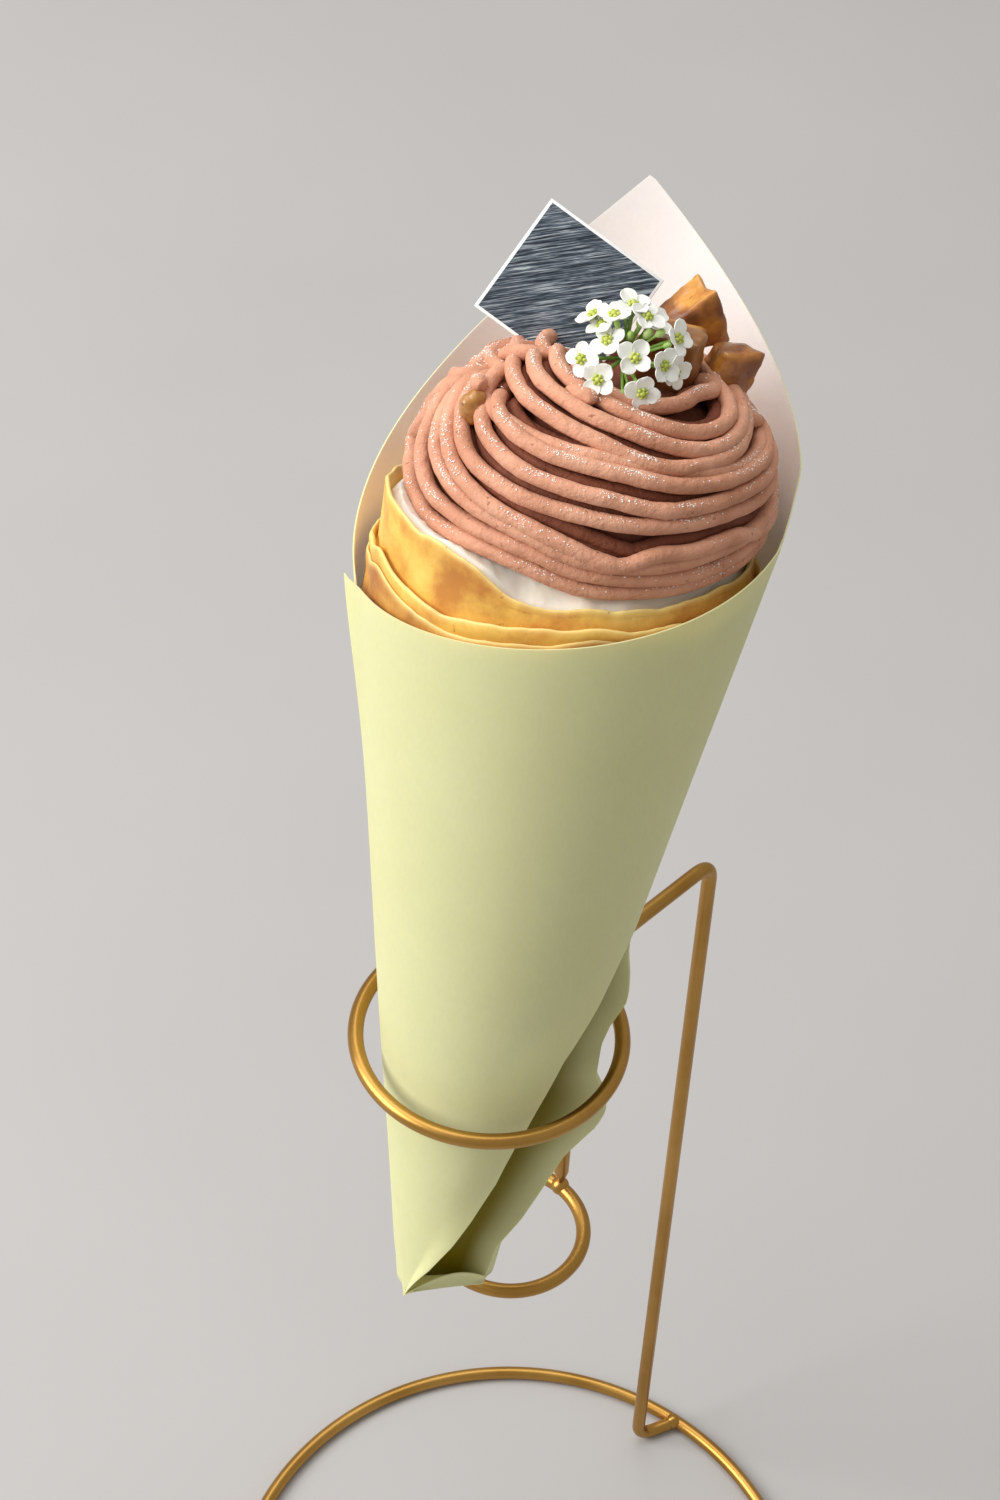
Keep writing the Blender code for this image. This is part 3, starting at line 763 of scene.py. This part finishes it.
def brownTop(turn):
    # The outermost layer stays lower and dips away on the left.
    degrees = toDegrees(turn) % 360
    low = smoothStep(150, 215, degrees) * smoothStep(300, 262, degrees)
    return foldTop(turn) - 2.0 - 0.9 * low + 0.35 * sin(5 * turn + 0.4) + 0.15 * sin(17 * turn)


def crepeProfile(turn):
    # Radius, height, baked share and pale edge share, up over the fold and crest and down inside
    brown, fold, wall = brownTop(turn), foldTop(turn), wallTop(turn)
    outer = outsideRadius(fold - 3.5) - 1.7 * leftShare(turn)
    foldR, wallR = foldRadius(turn), wallRadius(turn)
    thin = 0.36 + 0.08 * sin(6 * turn)
    return [
        (outsideRadius(crepe["low"]), crepe["low"], 0.8, 0), (outsideRadius(186), 186, 0.8, 0),
        (outsideRadius(brown - 9), brown - 9, 0.8, 0), (outer - 0.05, brown - 4, 0.8, 0),
        (outer + 0.25, brown - 1.6, 0.85, 0), (outer + 0.30, brown - 0.5, 0.7, 0.3),
        (outer + 0.12, brown, 0.4, 0.9), (outer - 0.18, brown - 0.15, 0.4, 0.8),
        (outer - 0.42, brown - 1.1, 0.9, 0), (outer - 0.50, brown - 1.3, 0.9, 0),
        (foldR + 0.30, fold - 1.6, 0.15, 0), (foldR + 0.36, fold - 0.6, 0.1, 0.2),
        (foldR + 0.18, fold - 0.08, 0.0, 0.8), (foldR - 0.12, fold, 0.0, 1.0),
        (foldR - thin, fold - 0.25, 0.0, 0.8), (foldR - thin - 0.30, fold - 1.0, 0.35, 0),
        (foldR - thin - 0.55, fold - 1.5, 0.55, 0), (foldR - thin - 0.75, fold - 1.1, 0.35, 0),
        (wallR * 0.3 + (foldR - 1.1) * 0.7, fold + 0.3 * (wall - fold) - 0.3, 0.22, 0),
        (wallR * 0.6 + (foldR - 0.9) * 0.4, fold + 0.6 * (wall - fold), 0.15, 0),
        (wallR + 0.40, wall - 1.5, 0.15, 0), (wallR + 0.42, wall - 0.55, 0.1, 0.3),
        (wallR + 0.25, wall - 0.06, 0.0, 0.9), (wallR, wall, 0.0, 1.0),
        (wallR - 0.25, wall - 0.15, 0.0, 0.9), (wallR - 0.45, wall - 0.9, 0.0, 0.3),
        (wallR - 0.9, wall - 3.5, 0.0, 0), (wallR - 2.2, wall - 9, 0.0, 0),
        (31.6, 203, 0.0, 0), (27.5, 186, 0.0, 0),
    ]


def buildCrepe():
    rows = (len(crepeProfile(0)) - 1) * crepe["fine"]
    bm = gridOf(crepe["around"], rows)
    bakedLayer = bm.verts.layers.float.new("baked")
    edgeLayer = bm.verts.layers.float.new("edge")
    profiles = {}
    for vert in bm.verts:
        turn = vert.co.x * 2 * pi
        key = round(vert.co.x * crepe["around"])
        if key not in profiles:
            profiles[key] = [Vector(mark) for mark in crepeProfile(turn % (2 * pi))]
        radius, height, baked, edge = catmull(profiles[key], vert.co.y)
        upper = smoothStep(198, 206, height)
        small = ringNoise(turn, 16, height * 0.25 + 9)
        radius += (0.30 * ringNoise(turn, 5, height * 0.10) + 0.10 * small) * upper
        height += 0.25 * small * upper
        vert.co = polar(radius, turn, height)
        patch = noise(vert.co * 0.10 + Vector((4, 0, 0)))
        vert[bakedLayer] = clamp(baked + 0.40 * patch)
        vert[edgeLayer] = clamp(edge)
    weld(bm, 1e-3)
    bmesh.ops.holes_fill(bm, edges=[edge for edge in bm.edges if edge.is_boundary], sides=0)
    # Tapered roll below, out of sight in the paper
    low, foot = crepe["low"], crepe["foot"]
    core = bmesh.new()
    core.verts.layers.float.new("baked")
    core.verts.layers.float.new("edge")
    bmesh.ops.create_cone(core, cap_ends=True, segments=96, radius1=outsideRadius(foot) * 0.85,
                          radius2=outsideRadius(low), depth=low - foot)
    move(core, (0, 0, (low + foot) / 2))
    joinInto(bm, core)
    finishPiece(bm, "crepeLayers", [crepeSkin], ["crepe"], sharp=75)


buildCrepe()
print("crepe ready")


# Whipped cream: a soft, torn surface that fills the roll up to its crest
cream = {
    "low": 188.0,
    "lowRadius": 27.0,
    "flat": 218.4,
    "below": 2.0,
    "sideShare": 0.25,
}


def buildCream():
    bm = gridOf(300, 70)
    low, inner, side = cream["low"], cream["lowRadius"], cream["sideShare"]
    for vert in bm.verts:
        turn = vert.co.x * 2 * pi
        rise = vert.co.y
        rim = wallRadius(turn) - 0.55
        crest = wallTop(turn) - 1.0 + 0.6 * ringNoise(turn, 6, 4)
        flat = cream["flat"] + 1.5 * sin(turn) + 1.0 * cos(turn)
        if rise < side:
            part = rise / side
            height = low + (crest - cream["below"] - low) * part
            radius = (inner + (rim - inner) * part) * smoothStep(-0.02, 0.08, part)
        else:
            part = (rise - side) / (1 - side)
            height = crest - cream["below"] + 2.2 * smoothStep(0, 0.05, part)
            height += (flat - crest) * smoothStep(0.0, 0.24, part)
            radius = rim * (1 - part) - 0.2 * smoothStep(0, 0.03, part)
            spot = polar(max(0.0, radius), turn, 0)
            swirl = noise(spot * 0.22 + Vector((0, 0, 8)))
            torn = noise(spot * 0.8 + Vector((0, 0, 2)))
            ridge = 1 - abs(noise(spot * 0.45 + Vector((5, 0, 3)))) * 2
            height += (0.35 * swirl + 0.20 * torn + 0.25 * ridge - 0.1) * smoothStep(0.0, 0.05, part)
        vert.co = polar(max(0.0, radius), turn, height)
    weld(bm, 1e-3)
    finishPiece(bm, "whippedCream", [creamWhite], ["whipped_cream"], sharp=75)


buildCream()
print("cream ready")


# Heap of piped chestnut cream
heap = {
    "shift": 3.2,
    "radius": 31.2,
    "middle": 220.0,
    "height": 25.8,
    "low": 214.8,
    "strand": 1.45,
    "sides": 16,
    "secondDepth": 2.3,
    "coreDepth": 2.6,
    "coreStart": 4.0,
    "bulge": 2.3,
}
# Each strand: lift, then pairs of turn (90 left, 180 front, 270 right) and length up the side
strandPaths = [
    (0.0, 62, 31, 76, 22, 84, 14, 90, 9.2, 102, 7.0, 118, 5.4, 132, 5.2, 147, 4.8, 160, 3.6, 172, 1.8,
     184, 0.7, 204, 0.5, 225, 1.0, 240, 2.0, 275, 3.6, 320, 5, 370, 6.5, 410, 7.5),
    (0.1, 70, 32, 86, 24, 96, 18.6, 104, 13.2, 117, 9.6, 130, 8.4, 147, 7.4, 162, 6.2, 180, 3.8,
     207, 2.9, 230, 3.4, 248, 4.4, 290, 6.8, 340, 9.6, 390, 11),
    (0.3, 74, 34, 92, 28, 101, 22, 112, 16.4, 126, 13.1, 138, 11.2, 158, 9.2, 172, 7.0, 186, 5.8,
     204, 5.6, 226, 6.6, 262, 8, 310, 10, 365, 13.4),
    (0.8, 84, 34, 98, 27, 112, 20.4, 128, 15.6, 144, 12.6, 160, 10.6, 174, 8.4, 184, 6.6, 190, 6.2,
     200, 7.8, 212, 7.6, 228, 8.2, 246, 6.4, 262, 6.0, 274, 8, 300, 12.6, 350, 16),
    (0.3, 92, 33, 104, 27.5, 118, 22, 132, 17.8, 150, 15.4, 171, 14.0, 188, 13.0, 204, 12.5,
     224, 12.7, 250, 12.6, 290, 14.6, 340, 18, 392, 20),
    (0.9, 98, 36, 108, 31, 121, 26.2, 134, 22.2, 152, 19.2, 170, 17.6, 184, 16.8, 195, 15.6,
     204, 15.0, 220, 15.2, 241, 15.4, 262, 15.8, 300, 17.5, 350, 20, 400, 23),
    (1.2, 118, 30.5, 130, 27, 144, 24.3, 158, 22.8, 172, 22.0, 186, 21.0, 198, 19.6, 209, 18.6,
     228, 18.2, 250, 18.2, 264, 19.2, 270, 21.6, 264, 24.6, 268, 28, 290, 30.5),
    (0.5, 40, 33, 60, 31, 78, 29.8, 106, 28.3, 128, 26.6, 150, 25.0, 166, 24.0, 182, 23.4, 205, 21.6,
     228, 19.8, 250, 19.4, 290, 22, 340, 26),
    (1.0, 58, 37, 85, 36, 106, 34.6, 128, 32.2, 146, 30.2, 164, 28.0, 180, 25.8, 195, 23.0, 208, 21.6,
     224, 21.8, 240, 22.8, 268, 26, 310, 29, 350, 30),
    (1.4, 74, 40, 108, 38.2, 134, 35.6, 156, 33, 174, 30.4, 190, 28, 205, 25.6, 218, 24.2, 231, 24.0,
     246, 25.0, 262, 27.2, 282, 30.5, 310, 34, 335, 36),
    (1.5, 88, 43.4, 118, 41.6, 148, 38.2, 170, 35.2, 186, 32.4, 202, 29.4, 216, 27.4, 230, 26.8,
     246, 28, 260, 31, 268, 36),
    (1.4, 140, 43, 160, 39.4, 182, 35.8, 200, 33.6, 220, 33.2, 241, 33.8, 261, 32.6, 285, 34,
     320, 37.5),
    (0.3, 285, 2.0, 320, 1.4, 360, 3.0, 395, 4.0, 425, 5.5, 440, 8.6, 448, 15, 452, 24),
    (0.4, 300, 18, 340, 15, 380, 16.5, 410, 18, 440, 25, 455, 31),
    (0.6, 310, 25, 345, 22.6, 380, 24.5, 410, 27, 440, 31, 470, 34),
    (0.7, 296, 34, 330, 32.6, 365, 30, 395, 31, 425, 34.5, 455, 38),
    (0.2, 325, 8, 355, 9.5, 385, 13, 412, 13.6, 430, 15, 444, 21, 452, 28),
    (1.0, 330, 40, 360, 38, 390, 37, 420, 39, 450, 41),
    (-0.2, 290, 5.5, 320, 5.0, 350, 6.5, 385, 8.2, 415, 9.8, 436, 14.5, 446, 20),
    (-0.4, 300, 12.5, 330, 11.5, 360, 12.5, 392, 16.2, 420, 19.0, 444, 26),
    (-0.2, 300, 21.5, 330, 20, 360, 20.5, 390, 22.4, 420, 25.0, 446, 30),
    (-0.3, 305, 29.5, 335, 28, 365, 27, 400, 29.8, 430, 33.5, 450, 37),
    (-0.5, 345, 2.6, 375, 4.8, 400, 10.6, 425, 16, 446, 22),
]
# Loops on top: centre in the cone's axes, size, tilt, start turn and sweep
strandLoops = [
    (Vector((-13.4, -9.6, 242.4)), 5.2, 0.5, 235, 215),
    (Vector((-9.0, 2.5, 244.6)), 5.6, 0.25, 20, 240),
    (Vector((20.5, -8.0, 239.4)), 5.2, -0.5, 60, 220),
    (Vector((2.0, -14.0, 243.6)), 5.0, 0.45, 190, 170),
]


def heapRadius(height):
    if height < heap["middle"]:
        return heap["radius"] - 0.04 * (heap["middle"] - height) ** 2
    part = min(1.0, (height - heap["middle"]) / heap["height"])
    return heap["radius"] * (1 - part ** heap["bulge"]) ** (1 / heap["bulge"])


def heapProfile():
    # Length up the side, with the radius and height there
    table = []
    length = 0.0
    before = None
    span = heap["middle"] + heap["height"] - heap["low"]
    for k in range(241):
        height = heap["low"] + span * sin(k / 240 * pi / 2)
        here = Vector((heapRadius(height), height))
        if before:
            length += (here - before).length
        table.append((length, here))
        before = here
    return table


heapSide = heapProfile()


def onHeapSide(length):
    length = max(0.0, min(heapSide[-1][0] - 0.01, length))
    for (l0, p0), (l1, p1) in zip(heapSide, heapSide[1:]):
        if l1 >= length:
            return p0.lerp(p1, (length - l0) / (l1 - l0))
    return heapSide[-1][1]


def heapPoint(length, turn, lift):
    place = onHeapSide(length)
    rise = onHeapSide(length + 0.5) - onHeapSide(length - 0.5)
    normal = Vector((rise.y, -rise.x)).normalized() if rise.length else Vector((0, 1))
    place = place + normal * lift
    share = max(0.0, 1 - length / 45)
    tilt = 1.8 * sin(turn) + 1.8 * cos(turn)
    return polar(place.x, turn, place.y + 1.6 * share + tilt * share, heap["shift"])


def heapOutward(point):
    return (point - Vector((heap["shift"], 0, heap["middle"] - 8))).normalized()


def strandLines():
    # The second layer comes first and shows in the gaps.
    lines = []
    paths = [(lift, list(zip(keys[::2], keys[1::2]))) for lift, *keys in strandPaths]
    under = [(lift - heap["secondDepth"], [(turn + 5, length + 1.7) for turn, length in keys])
             for lift, keys in paths[:12]]
    for seed, (lift, keys) in enumerate(under + paths):
        marks = [Vector((turn, length, 0)) for turn, length in keys]
        steps = 14 * (len(marks) - 1)
        line = []
        for k in range(steps + 1):
            mark = catmull(marks, k / steps)
            wave = 0.22 * noise(Vector((mark.x * 0.045, seed * 5.3, 1)))
            rise = 0.35 * noise(Vector((mark.x * 0.035, seed * 2.9, 7)))
            ends = smoothStep(0.07, 0.0, min(k, steps - k) / steps)
            line.append(heapPoint(mark.y + wave, radians(-mark.x), lift + rise - 1.5 * ends))
        lines.append(line)
    for centre, size, tilt, start, sweep in strandLoops:
        line = []
        for k in range(49):
            turn = radians(start + sweep * k / 48)
            line.append(centre + Vector((size * sin(turn), size * 0.85 * cos(turn),
                                         -size * tilt * cos(turn) - 1.8 * abs(k / 24 - 1) ** 3)))
        lines.append(line)
    return lines, len(under)


def buildHeap():
    lines, below = strandLines()
    whole = bmesh.new()
    for seed, line in enumerate(lines):
        strand = tube(line, heap["strand"], heap["sides"], heapOutward, 0.09, seed, 1.5)
        # The second layer takes the darker paste, painted shade in the gaps
        for face in strand.faces:
            face.material_index = 1 if seed < below else 0
        joinInto(whole, strand)
    finishPiece(whole, "chestnutStrands", [strandPaste, paintedShadePaste], ["chestnut_cream"],
                fix=False)
    # Core that closes the gaps between the strands, in the darker paste painted as shade
    core = gridOf(120, 50)
    start, depth = heap["coreStart"], -heap["coreDepth"]
    for vert in core.verts:
        turn = vert.co.x * 2 * pi
        rise = vert.co.y
        if rise < 0.2:
            spot = Vector((heap["shift"], 0, 216)).lerp(heapPoint(start, turn, depth), rise / 0.2)
        else:
            spot = heapPoint(start + (rise - 0.2) / 0.8 * (heapSide[-1][0] - start), turn, depth)
            spot += heapOutward(spot) * 0.5 * noise(spot * 0.25)
        vert.co = spot
    weld(core, 1e-3)
    finishPiece(core, "chestnutCore", [paintedShadePaste], ["chestnut_cream"], sharp=80)
    return lines[below:]


heapLines = buildHeap()
print("heap ready")


# Icing sugar: small flat flakes on the sides of the strands that face up
sugar = {
    "seed": 11,
    "amount": 2.3,
    "patch": 0.16,
    "smallest": 0.07,
    "largest": 0.17,
}


def buildSugar(lines):
    draw = random.Random(sugar["seed"])
    upWay = coneFrame.to_3x3().inverted() @ Vector((0, 0, 1))
    upWay.normalize()
    whole = bmesh.new()
    count = 0
    for line in lines:
        flakes = bmesh.new()
        for k in range(1, len(line) - 1):
            here = line[k]
            way = (line[k + 1] - line[k - 1]).normalized()
            outward = heapOutward(here)
            patch = noise(here * sugar["patch"] + Vector((3, 1, 0)))
            chance = max(0.0, outward.dot(upWay) + 0.15) * max(0.06, 0.2 + 4.2 * patch)
            chance *= sugar["amount"]
            while chance > draw.random():
                chance -= 1
                spread = Vector([draw.gauss(0, 0.34) for _ in range(3)])
                aim = (outward + upWay * 0.8 + spread).normalized()
                aim = (aim - way * aim.dot(way)).normalized()
                spot = here + way * draw.uniform(-0.6, 0.6) + aim * (heap["strand"] * 1.02)
                squash = Matrix.Diagonal((draw.uniform(0.7, 1.6), draw.uniform(0.6, 1.2), 0.55, 1))
                size = draw.uniform(sugar["smallest"], sugar["largest"])
                bmesh.ops.create_icosphere(flakes, subdivisions=1, radius=size,
                                           matrix=facing(spot, aim) @ squash)
                count += 1
        joinInto(whole, flakes)
    finishPiece(whole, "icingSugar", [sugarWhite], (), fix=False, sharp=80)
    print("sugar flakes:", count)


buildSugar(heapLines)


# Glazed chestnut blocks: centre, size, turn, seed, how far each narrows to one side and is peeled
chestnuts = {
    "chestnut_1": (Vector((16.7, 12.4, 250.2)), (12.6, 7.0, 8.8), (0.2, -0.55, 0.3), 4, -0.55, 0.02),
    "chestnut_2": (Vector((13.6, 0.6, 246.4)), (10.6, 8.0, 14.2), (0.3, 0.12, -0.2), 7, 0.0, -0.5),
    "chestnut_3": (Vector((24.6, 4.0, 245.6)), (8.6, 7.0, 8.6), (0.1, 0.30, 0.5), 11, -0.5, 0.0),
}
stub = {
    "centre": (-18.9, -12.6, 238.6),
    "size": (2.4, 2.2, 3.0),
    "skin": 0.45,
}


def buildChestnut(node, centre, size, euler, seed, wedge, peeled):
    draw = random.Random(seed)
    bm = block((1, 1, 1))
    bmesh.ops.subdivide_edges(bm, edges=bm.edges, cuts=1, use_grid_fill=True)
    for vert in bm.verts:
        shrink = 1.0 - 0.16 * (vert.co.length - 0.5)
        spot = vert.co * shrink + Vector([draw.uniform(-0.07, 0.07) for _ in range(3)])
        spot.y *= 1 - wedge * 0.5 * spot.x
        spot.z *= 1 - wedge * spot.x
        vert.co = spot * Vector(size)
    bmesh.ops.bevel(bm, geom=bm.edges[:] + bm.verts[:], offset=0.7, segments=3, profile=0.5,
                    affect="EDGES", clamp_overlap=True, material=-1)
    bmesh.ops.subdivide_edges(bm, edges=bm.edges, cuts=4, use_grid_fill=True)
    bmesh.ops.smooth_vert(bm, verts=bm.verts, factor=0.5)
    for vert in bm.verts:
        vert.co += vert.co.normalized() * (0.35 * noise(vert.co * 0.35 + Vector((seed, 0, 0)))
                                           + 0.12 * noise(vert.co * 1.3 + Vector((0, seed, 0))))
    skin = bm.verts.layers.float.new("skin")
    for vert in bm.verts:
        patch = noise(vert.co * 0.16 + Vector((0, 0, seed * 2.0)))
        vert[skin] = 0.75 * smoothStep(peeled, peeled + 0.3, patch)
    turn = Matrix.Rotation(euler[2], 4, "Z") @ Matrix.Rotation(euler[1], 4, "Y")
    turn = turn @ Matrix.Rotation(euler[0], 4, "X")
    bmesh.ops.transform(bm, matrix=Matrix.Translation(centre) @ turn, verts=bm.verts)
    finishPiece(bm, "glazedPiece" + node[-1], [chestnutGlaze], [node], sharp=60)


for node, shape in chestnuts.items():
    buildChestnut(node, *shape)


def buildStub():
    # A small end of chestnut between the strands on the left
    bm = ball(1.0, 4)
    skin = bm.verts.layers.float.new("skin")
    bmesh.ops.scale(bm, vec=stub["size"], verts=bm.verts)
    for vert in bm.verts:
        vert.co += vert.co.normalized() * 0.5 * noise(vert.co * 0.6)
        vert[skin] = stub["skin"]
    move(bm, stub["centre"])
    finishPiece(bm, "chestnutStub", [chestnutGlaze], (), sharp=60)


buildStub()
print("chestnuts ready")


# Card on top, turned to face the way the photograph looks down on the cone
card = {
    "side": 22.9,
    "width": 24.1,
    "thick": 0.6,
    "border": 0.55,
    "centre": Vector((-4.2, 12.0, 252.8)),
    "lookDown": 42.5,
    "roll": -3.6,
    "slant": -36.1,
    "brushing": 8,
}


def buildCard():
    def lying(turn):
        # Across the line of sight, turned by some degrees in that plane
        return (Matrix.Rotation(pi / 2 - radians(card["lookDown"]), 4, "X")
                @ Matrix.Rotation(radians(turn - card["roll"]), 4, "Z"))

    place = (Matrix.Translation(coneFrame @ card["centre"]) @ lying(card["slant"])
             @ Matrix.Scale(mm, 4))
    width, side, thick = card["width"], card["side"], card["thick"]
    rim = 2 * card["border"]
    bm = block((width, side, thick))
    bmesh.ops.bevel(bm, geom=bm.edges[:], offset=0.15, segments=3, profile=0.5, affect="EDGES",
                    material=-1)
    foilPart = block((width - rim, side - rim, 0.06))
    move(foilPart, (0, 0, thick / 2))
    for face in foilPart.faces:
        face.material_index = 1
    joinInto(bm, foilPart)
    # The brushing rises a little to the right
    lengthWay, crossWay = lying(card["brushing"]).to_3x3().col[:2]
    foil = makeFoil(lengthWay, crossWay)
    finishPiece(bm, "topperCard", [cardWhite, foil], ["topper_card"], place)


buildCard()
print("card ready")


# Sprig of small white four-petalled flowers
sprig = {
    "hub": Vector((5.2, -8.5, 249.0)),
    "petal": 3.25,
    "petalThick": 0.16,
    "heart": 0.55,
    "stamen": 0.34,
    "stamenReach": 0.75,
    "stem": 0.34,
    "budStem": 0.26,
    "mainStem": 0.6,
}
# Place of each flower
florets = [
    (6.6, -13.0, 250.8), (8.3, -18.0, 246.6), (0.8, -17.4, 247.8), (-2.1, -13.4, 249.6),
    (11.6, -12.5, 250.0), (13.8, -10.6, 248.4), (13.6, -8.5, 253.6), (9.7, -7.0, 255.8),
    (5.6, -6.0, 257.6), (1.0, -6.4, 253.6), (-0.6, -4.5, 254.6), (2.6, -7.6, 256.0),
    (8.0, -8.2, 256.6), (2.0, -9.4, 252.0),
]
# Place and size of each bud
buds = [
    (4.4, -7.0, 256.2, 1.0), (7.2, -8.0, 255.6, 1.15), (5.6, -9.4, 253.4, 0.95),
    (8.6, -8.4, 253.8, 1.1), (10.6, -9.0, 254.4, 1.0), (6.2, -15.6, 246.4, 1.1),
    (5.2, -16.4, 245.6, 0.8), (9.6, -7.4, 255.6, 0.85), (3.2, -8.8, 255.0, 0.8),
    (12.0, -9.6, 252.6, 0.8),
]


def petalShape(draw):
    # A broad rounded petal, cupped and slightly wavy, from the origin along x
    bm = gridOf(12, 10)
    length = sprig["petal"] * draw.uniform(0.92, 1.08)
    wave = draw.uniform(0, 6.28)
    for vert in bm.verts:
        u, v = vert.co.x, vert.co.y * 2 - 1
        width = length * 0.46 * sqrt(max(0.0, 1 - ((u - 0.57) / 0.46) ** 2))
        x = length * u * (1 - 0.06 * v * v * u)
        z = 0.42 * sin(u * 2.0) * length * 0.42 - 0.22 * (1 - v * v) * sin(pi * u)
        z += 0.10 * sin(3 * v + wave) * u
        vert.co = Vector((x, max(width, 0.14) * v, z))
    weld(bm)
    thicken(bm, sprig["petalThick"])
    return bm


def stemTube(start, end, size, draw):
    middle = start.lerp(end, 0.5) + Vector((draw.uniform(-0.5, 0.5), 0.5, draw.uniform(-0.2, 0.5)))
    up = (end - start).normalized().orthogonal()
    return tube(bow(start, middle, end, 12), size, 8, lambda p: up, taper=0)


def buildSprig():
    draw = random.Random(5)
    petals, hearts, stems, tips = [bmesh.new() for _ in range(4)]
    hub = sprig["hub"]
    for spot in florets:
        centre = Vector(spot)
        outward = ((centre - hub).normalized() * 0.95 + Vector((0, -0.62, 0.22))).normalized()
        aim = facing(centre, outward) @ Matrix.Rotation(draw.uniform(0, 1.57), 4, "Z")
        for k in range(4):
            petal = petalShape(draw)
            turn = Matrix.Rotation(radians(90 * k + draw.uniform(-7, 7)), 4, "Z")
            rise = Matrix.Rotation(radians(draw.uniform(-12, 6)), 4, "Y")
            bmesh.ops.transform(petal, matrix=aim @ turn @ rise, verts=petal.verts)
            joinInto(petals, petal)
        for k in range(7):
            # The heart in the middle, then six stamens round it
            dot = ball(sprig["stamen"] if k else sprig["heart"], 2)
            angle = k * pi / 3
            reach = sprig["stamenReach"] if k else 0.0
            move(dot, (reach * cos(angle), reach * sin(angle), 0.55))
            bmesh.ops.transform(dot, matrix=aim, verts=dot.verts)
            joinInto(hearts, dot)
        joinInto(stems, stemTube(hub, centre - outward * 0.2, sprig["stem"], draw))
    for *place, size in buds:
        spot = Vector(place)
        bud = ball(size * 0.8, 3)
        bmesh.ops.scale(bud, vec=(0.85, 0.85, 1.25), verts=bud.verts)
        bmesh.ops.transform(bud, matrix=facing(spot, (spot - hub).normalized()), verts=bud.verts)
        joinInto(tips, bud)
        joinInto(stems, stemTube(hub, spot, sprig["budStem"], draw))
    joinInto(stems, stemTube(hub + Vector((1.0, 4.0, -5.5)), hub, sprig["mainStem"], draw))
    for bm, name, mat in ((petals, "flowerPetals", petalWhite), (hearts, "flowerHearts", stamenGreen),
                          (stems, "flowerStems", stemGreen), (tips, "flowerBuds", budGreen)):
        finishPiece(bm, name, [mat], ["flower_sprig"], fix=False, sharp=80)


buildSprig()
print("sprig ready")


# Floor, light and camera, with the lights in metres and the camera's place in millimetres
studio = {
    "floorSize": 3.0,
    "floorTones": ("B3B1B1", "B8B6B6"),
    "airColour": (1.0, 0.97, 0.90, 1),
    "airStrength": 0.49,
    "lens": 84.0,
    "place": Vector((-16.1, -414.9, 713.8)),
    "pitch": 46.03,
    "roll": 3.56,
}
# Place, target, size, power and colour
lights = {
    "windowLeft": (Vector((-1.18, -0.20, 1.0)), Vector((0, 0, 0.24)), 0.85, 19, (1.0, 0.985, 0.97)),
    "skyAbove": (Vector((-0.35, 0.45, 1.6)), Vector((0, 0, 0.1)), 1.2, 11, (1.0, 1.0, 1.0)),
}


def areaLight(name, place, target, size, power, colour):
    data = bpy.data.lights.new(name, "AREA")
    data.shape = "SQUARE"
    data.size = size
    data.energy = power
    data.color = colour
    light = bpy.data.objects.new(name, data)
    light.location = place
    light.rotation_euler = (target - place).to_track_quat("-Z", "Y").to_euler()
    bpy.context.scene.collection.objects.link(light)


def buildStudio():
    scene = bpy.context.scene
    mat = newMaterial("paleFloor", 0.9)
    low, high = studio["floorTones"]
    feed(mat, "Base Color", rampNode(mat, noiseNode(mat, 5, 3), [(0.3, low), (0.7, high)]))
    bm = bmesh.new()
    bmesh.ops.create_grid(bm, x_segments=1, y_segments=1, size=studio["floorSize"])
    floor = newPiece(bm, "floor", [mat])
    for name, light in lights.items():
        areaLight(name, *light)
    world = bpy.data.worlds.new("studioAir")
    world.use_nodes = True
    air = world.node_tree.nodes["Background"]
    air.inputs["Color"].default_value = studio["airColour"]
    air.inputs["Strength"].default_value = studio["airStrength"]
    scene.world = world
    scene.view_settings.view_transform = "Standard"

    data = bpy.data.cameras.new("camera")
    data.lens = studio["lens"]
    data.sensor_width = 36
    data.clip_start = 0.01
    data.clip_end = 20
    camera = bpy.data.objects.new("camera", data)
    camera.matrix_world = (Matrix.Translation((holder["centre"] + studio["place"]) * mm)
                           @ Matrix.Rotation(pi / 2 - radians(studio["pitch"]), 4, "X")
                           @ Matrix.Rotation(radians(studio["roll"]), 4, "Z"))
    scene.collection.objects.link(camera)
    scene.camera = camera


buildStudio()
print("studio ready")
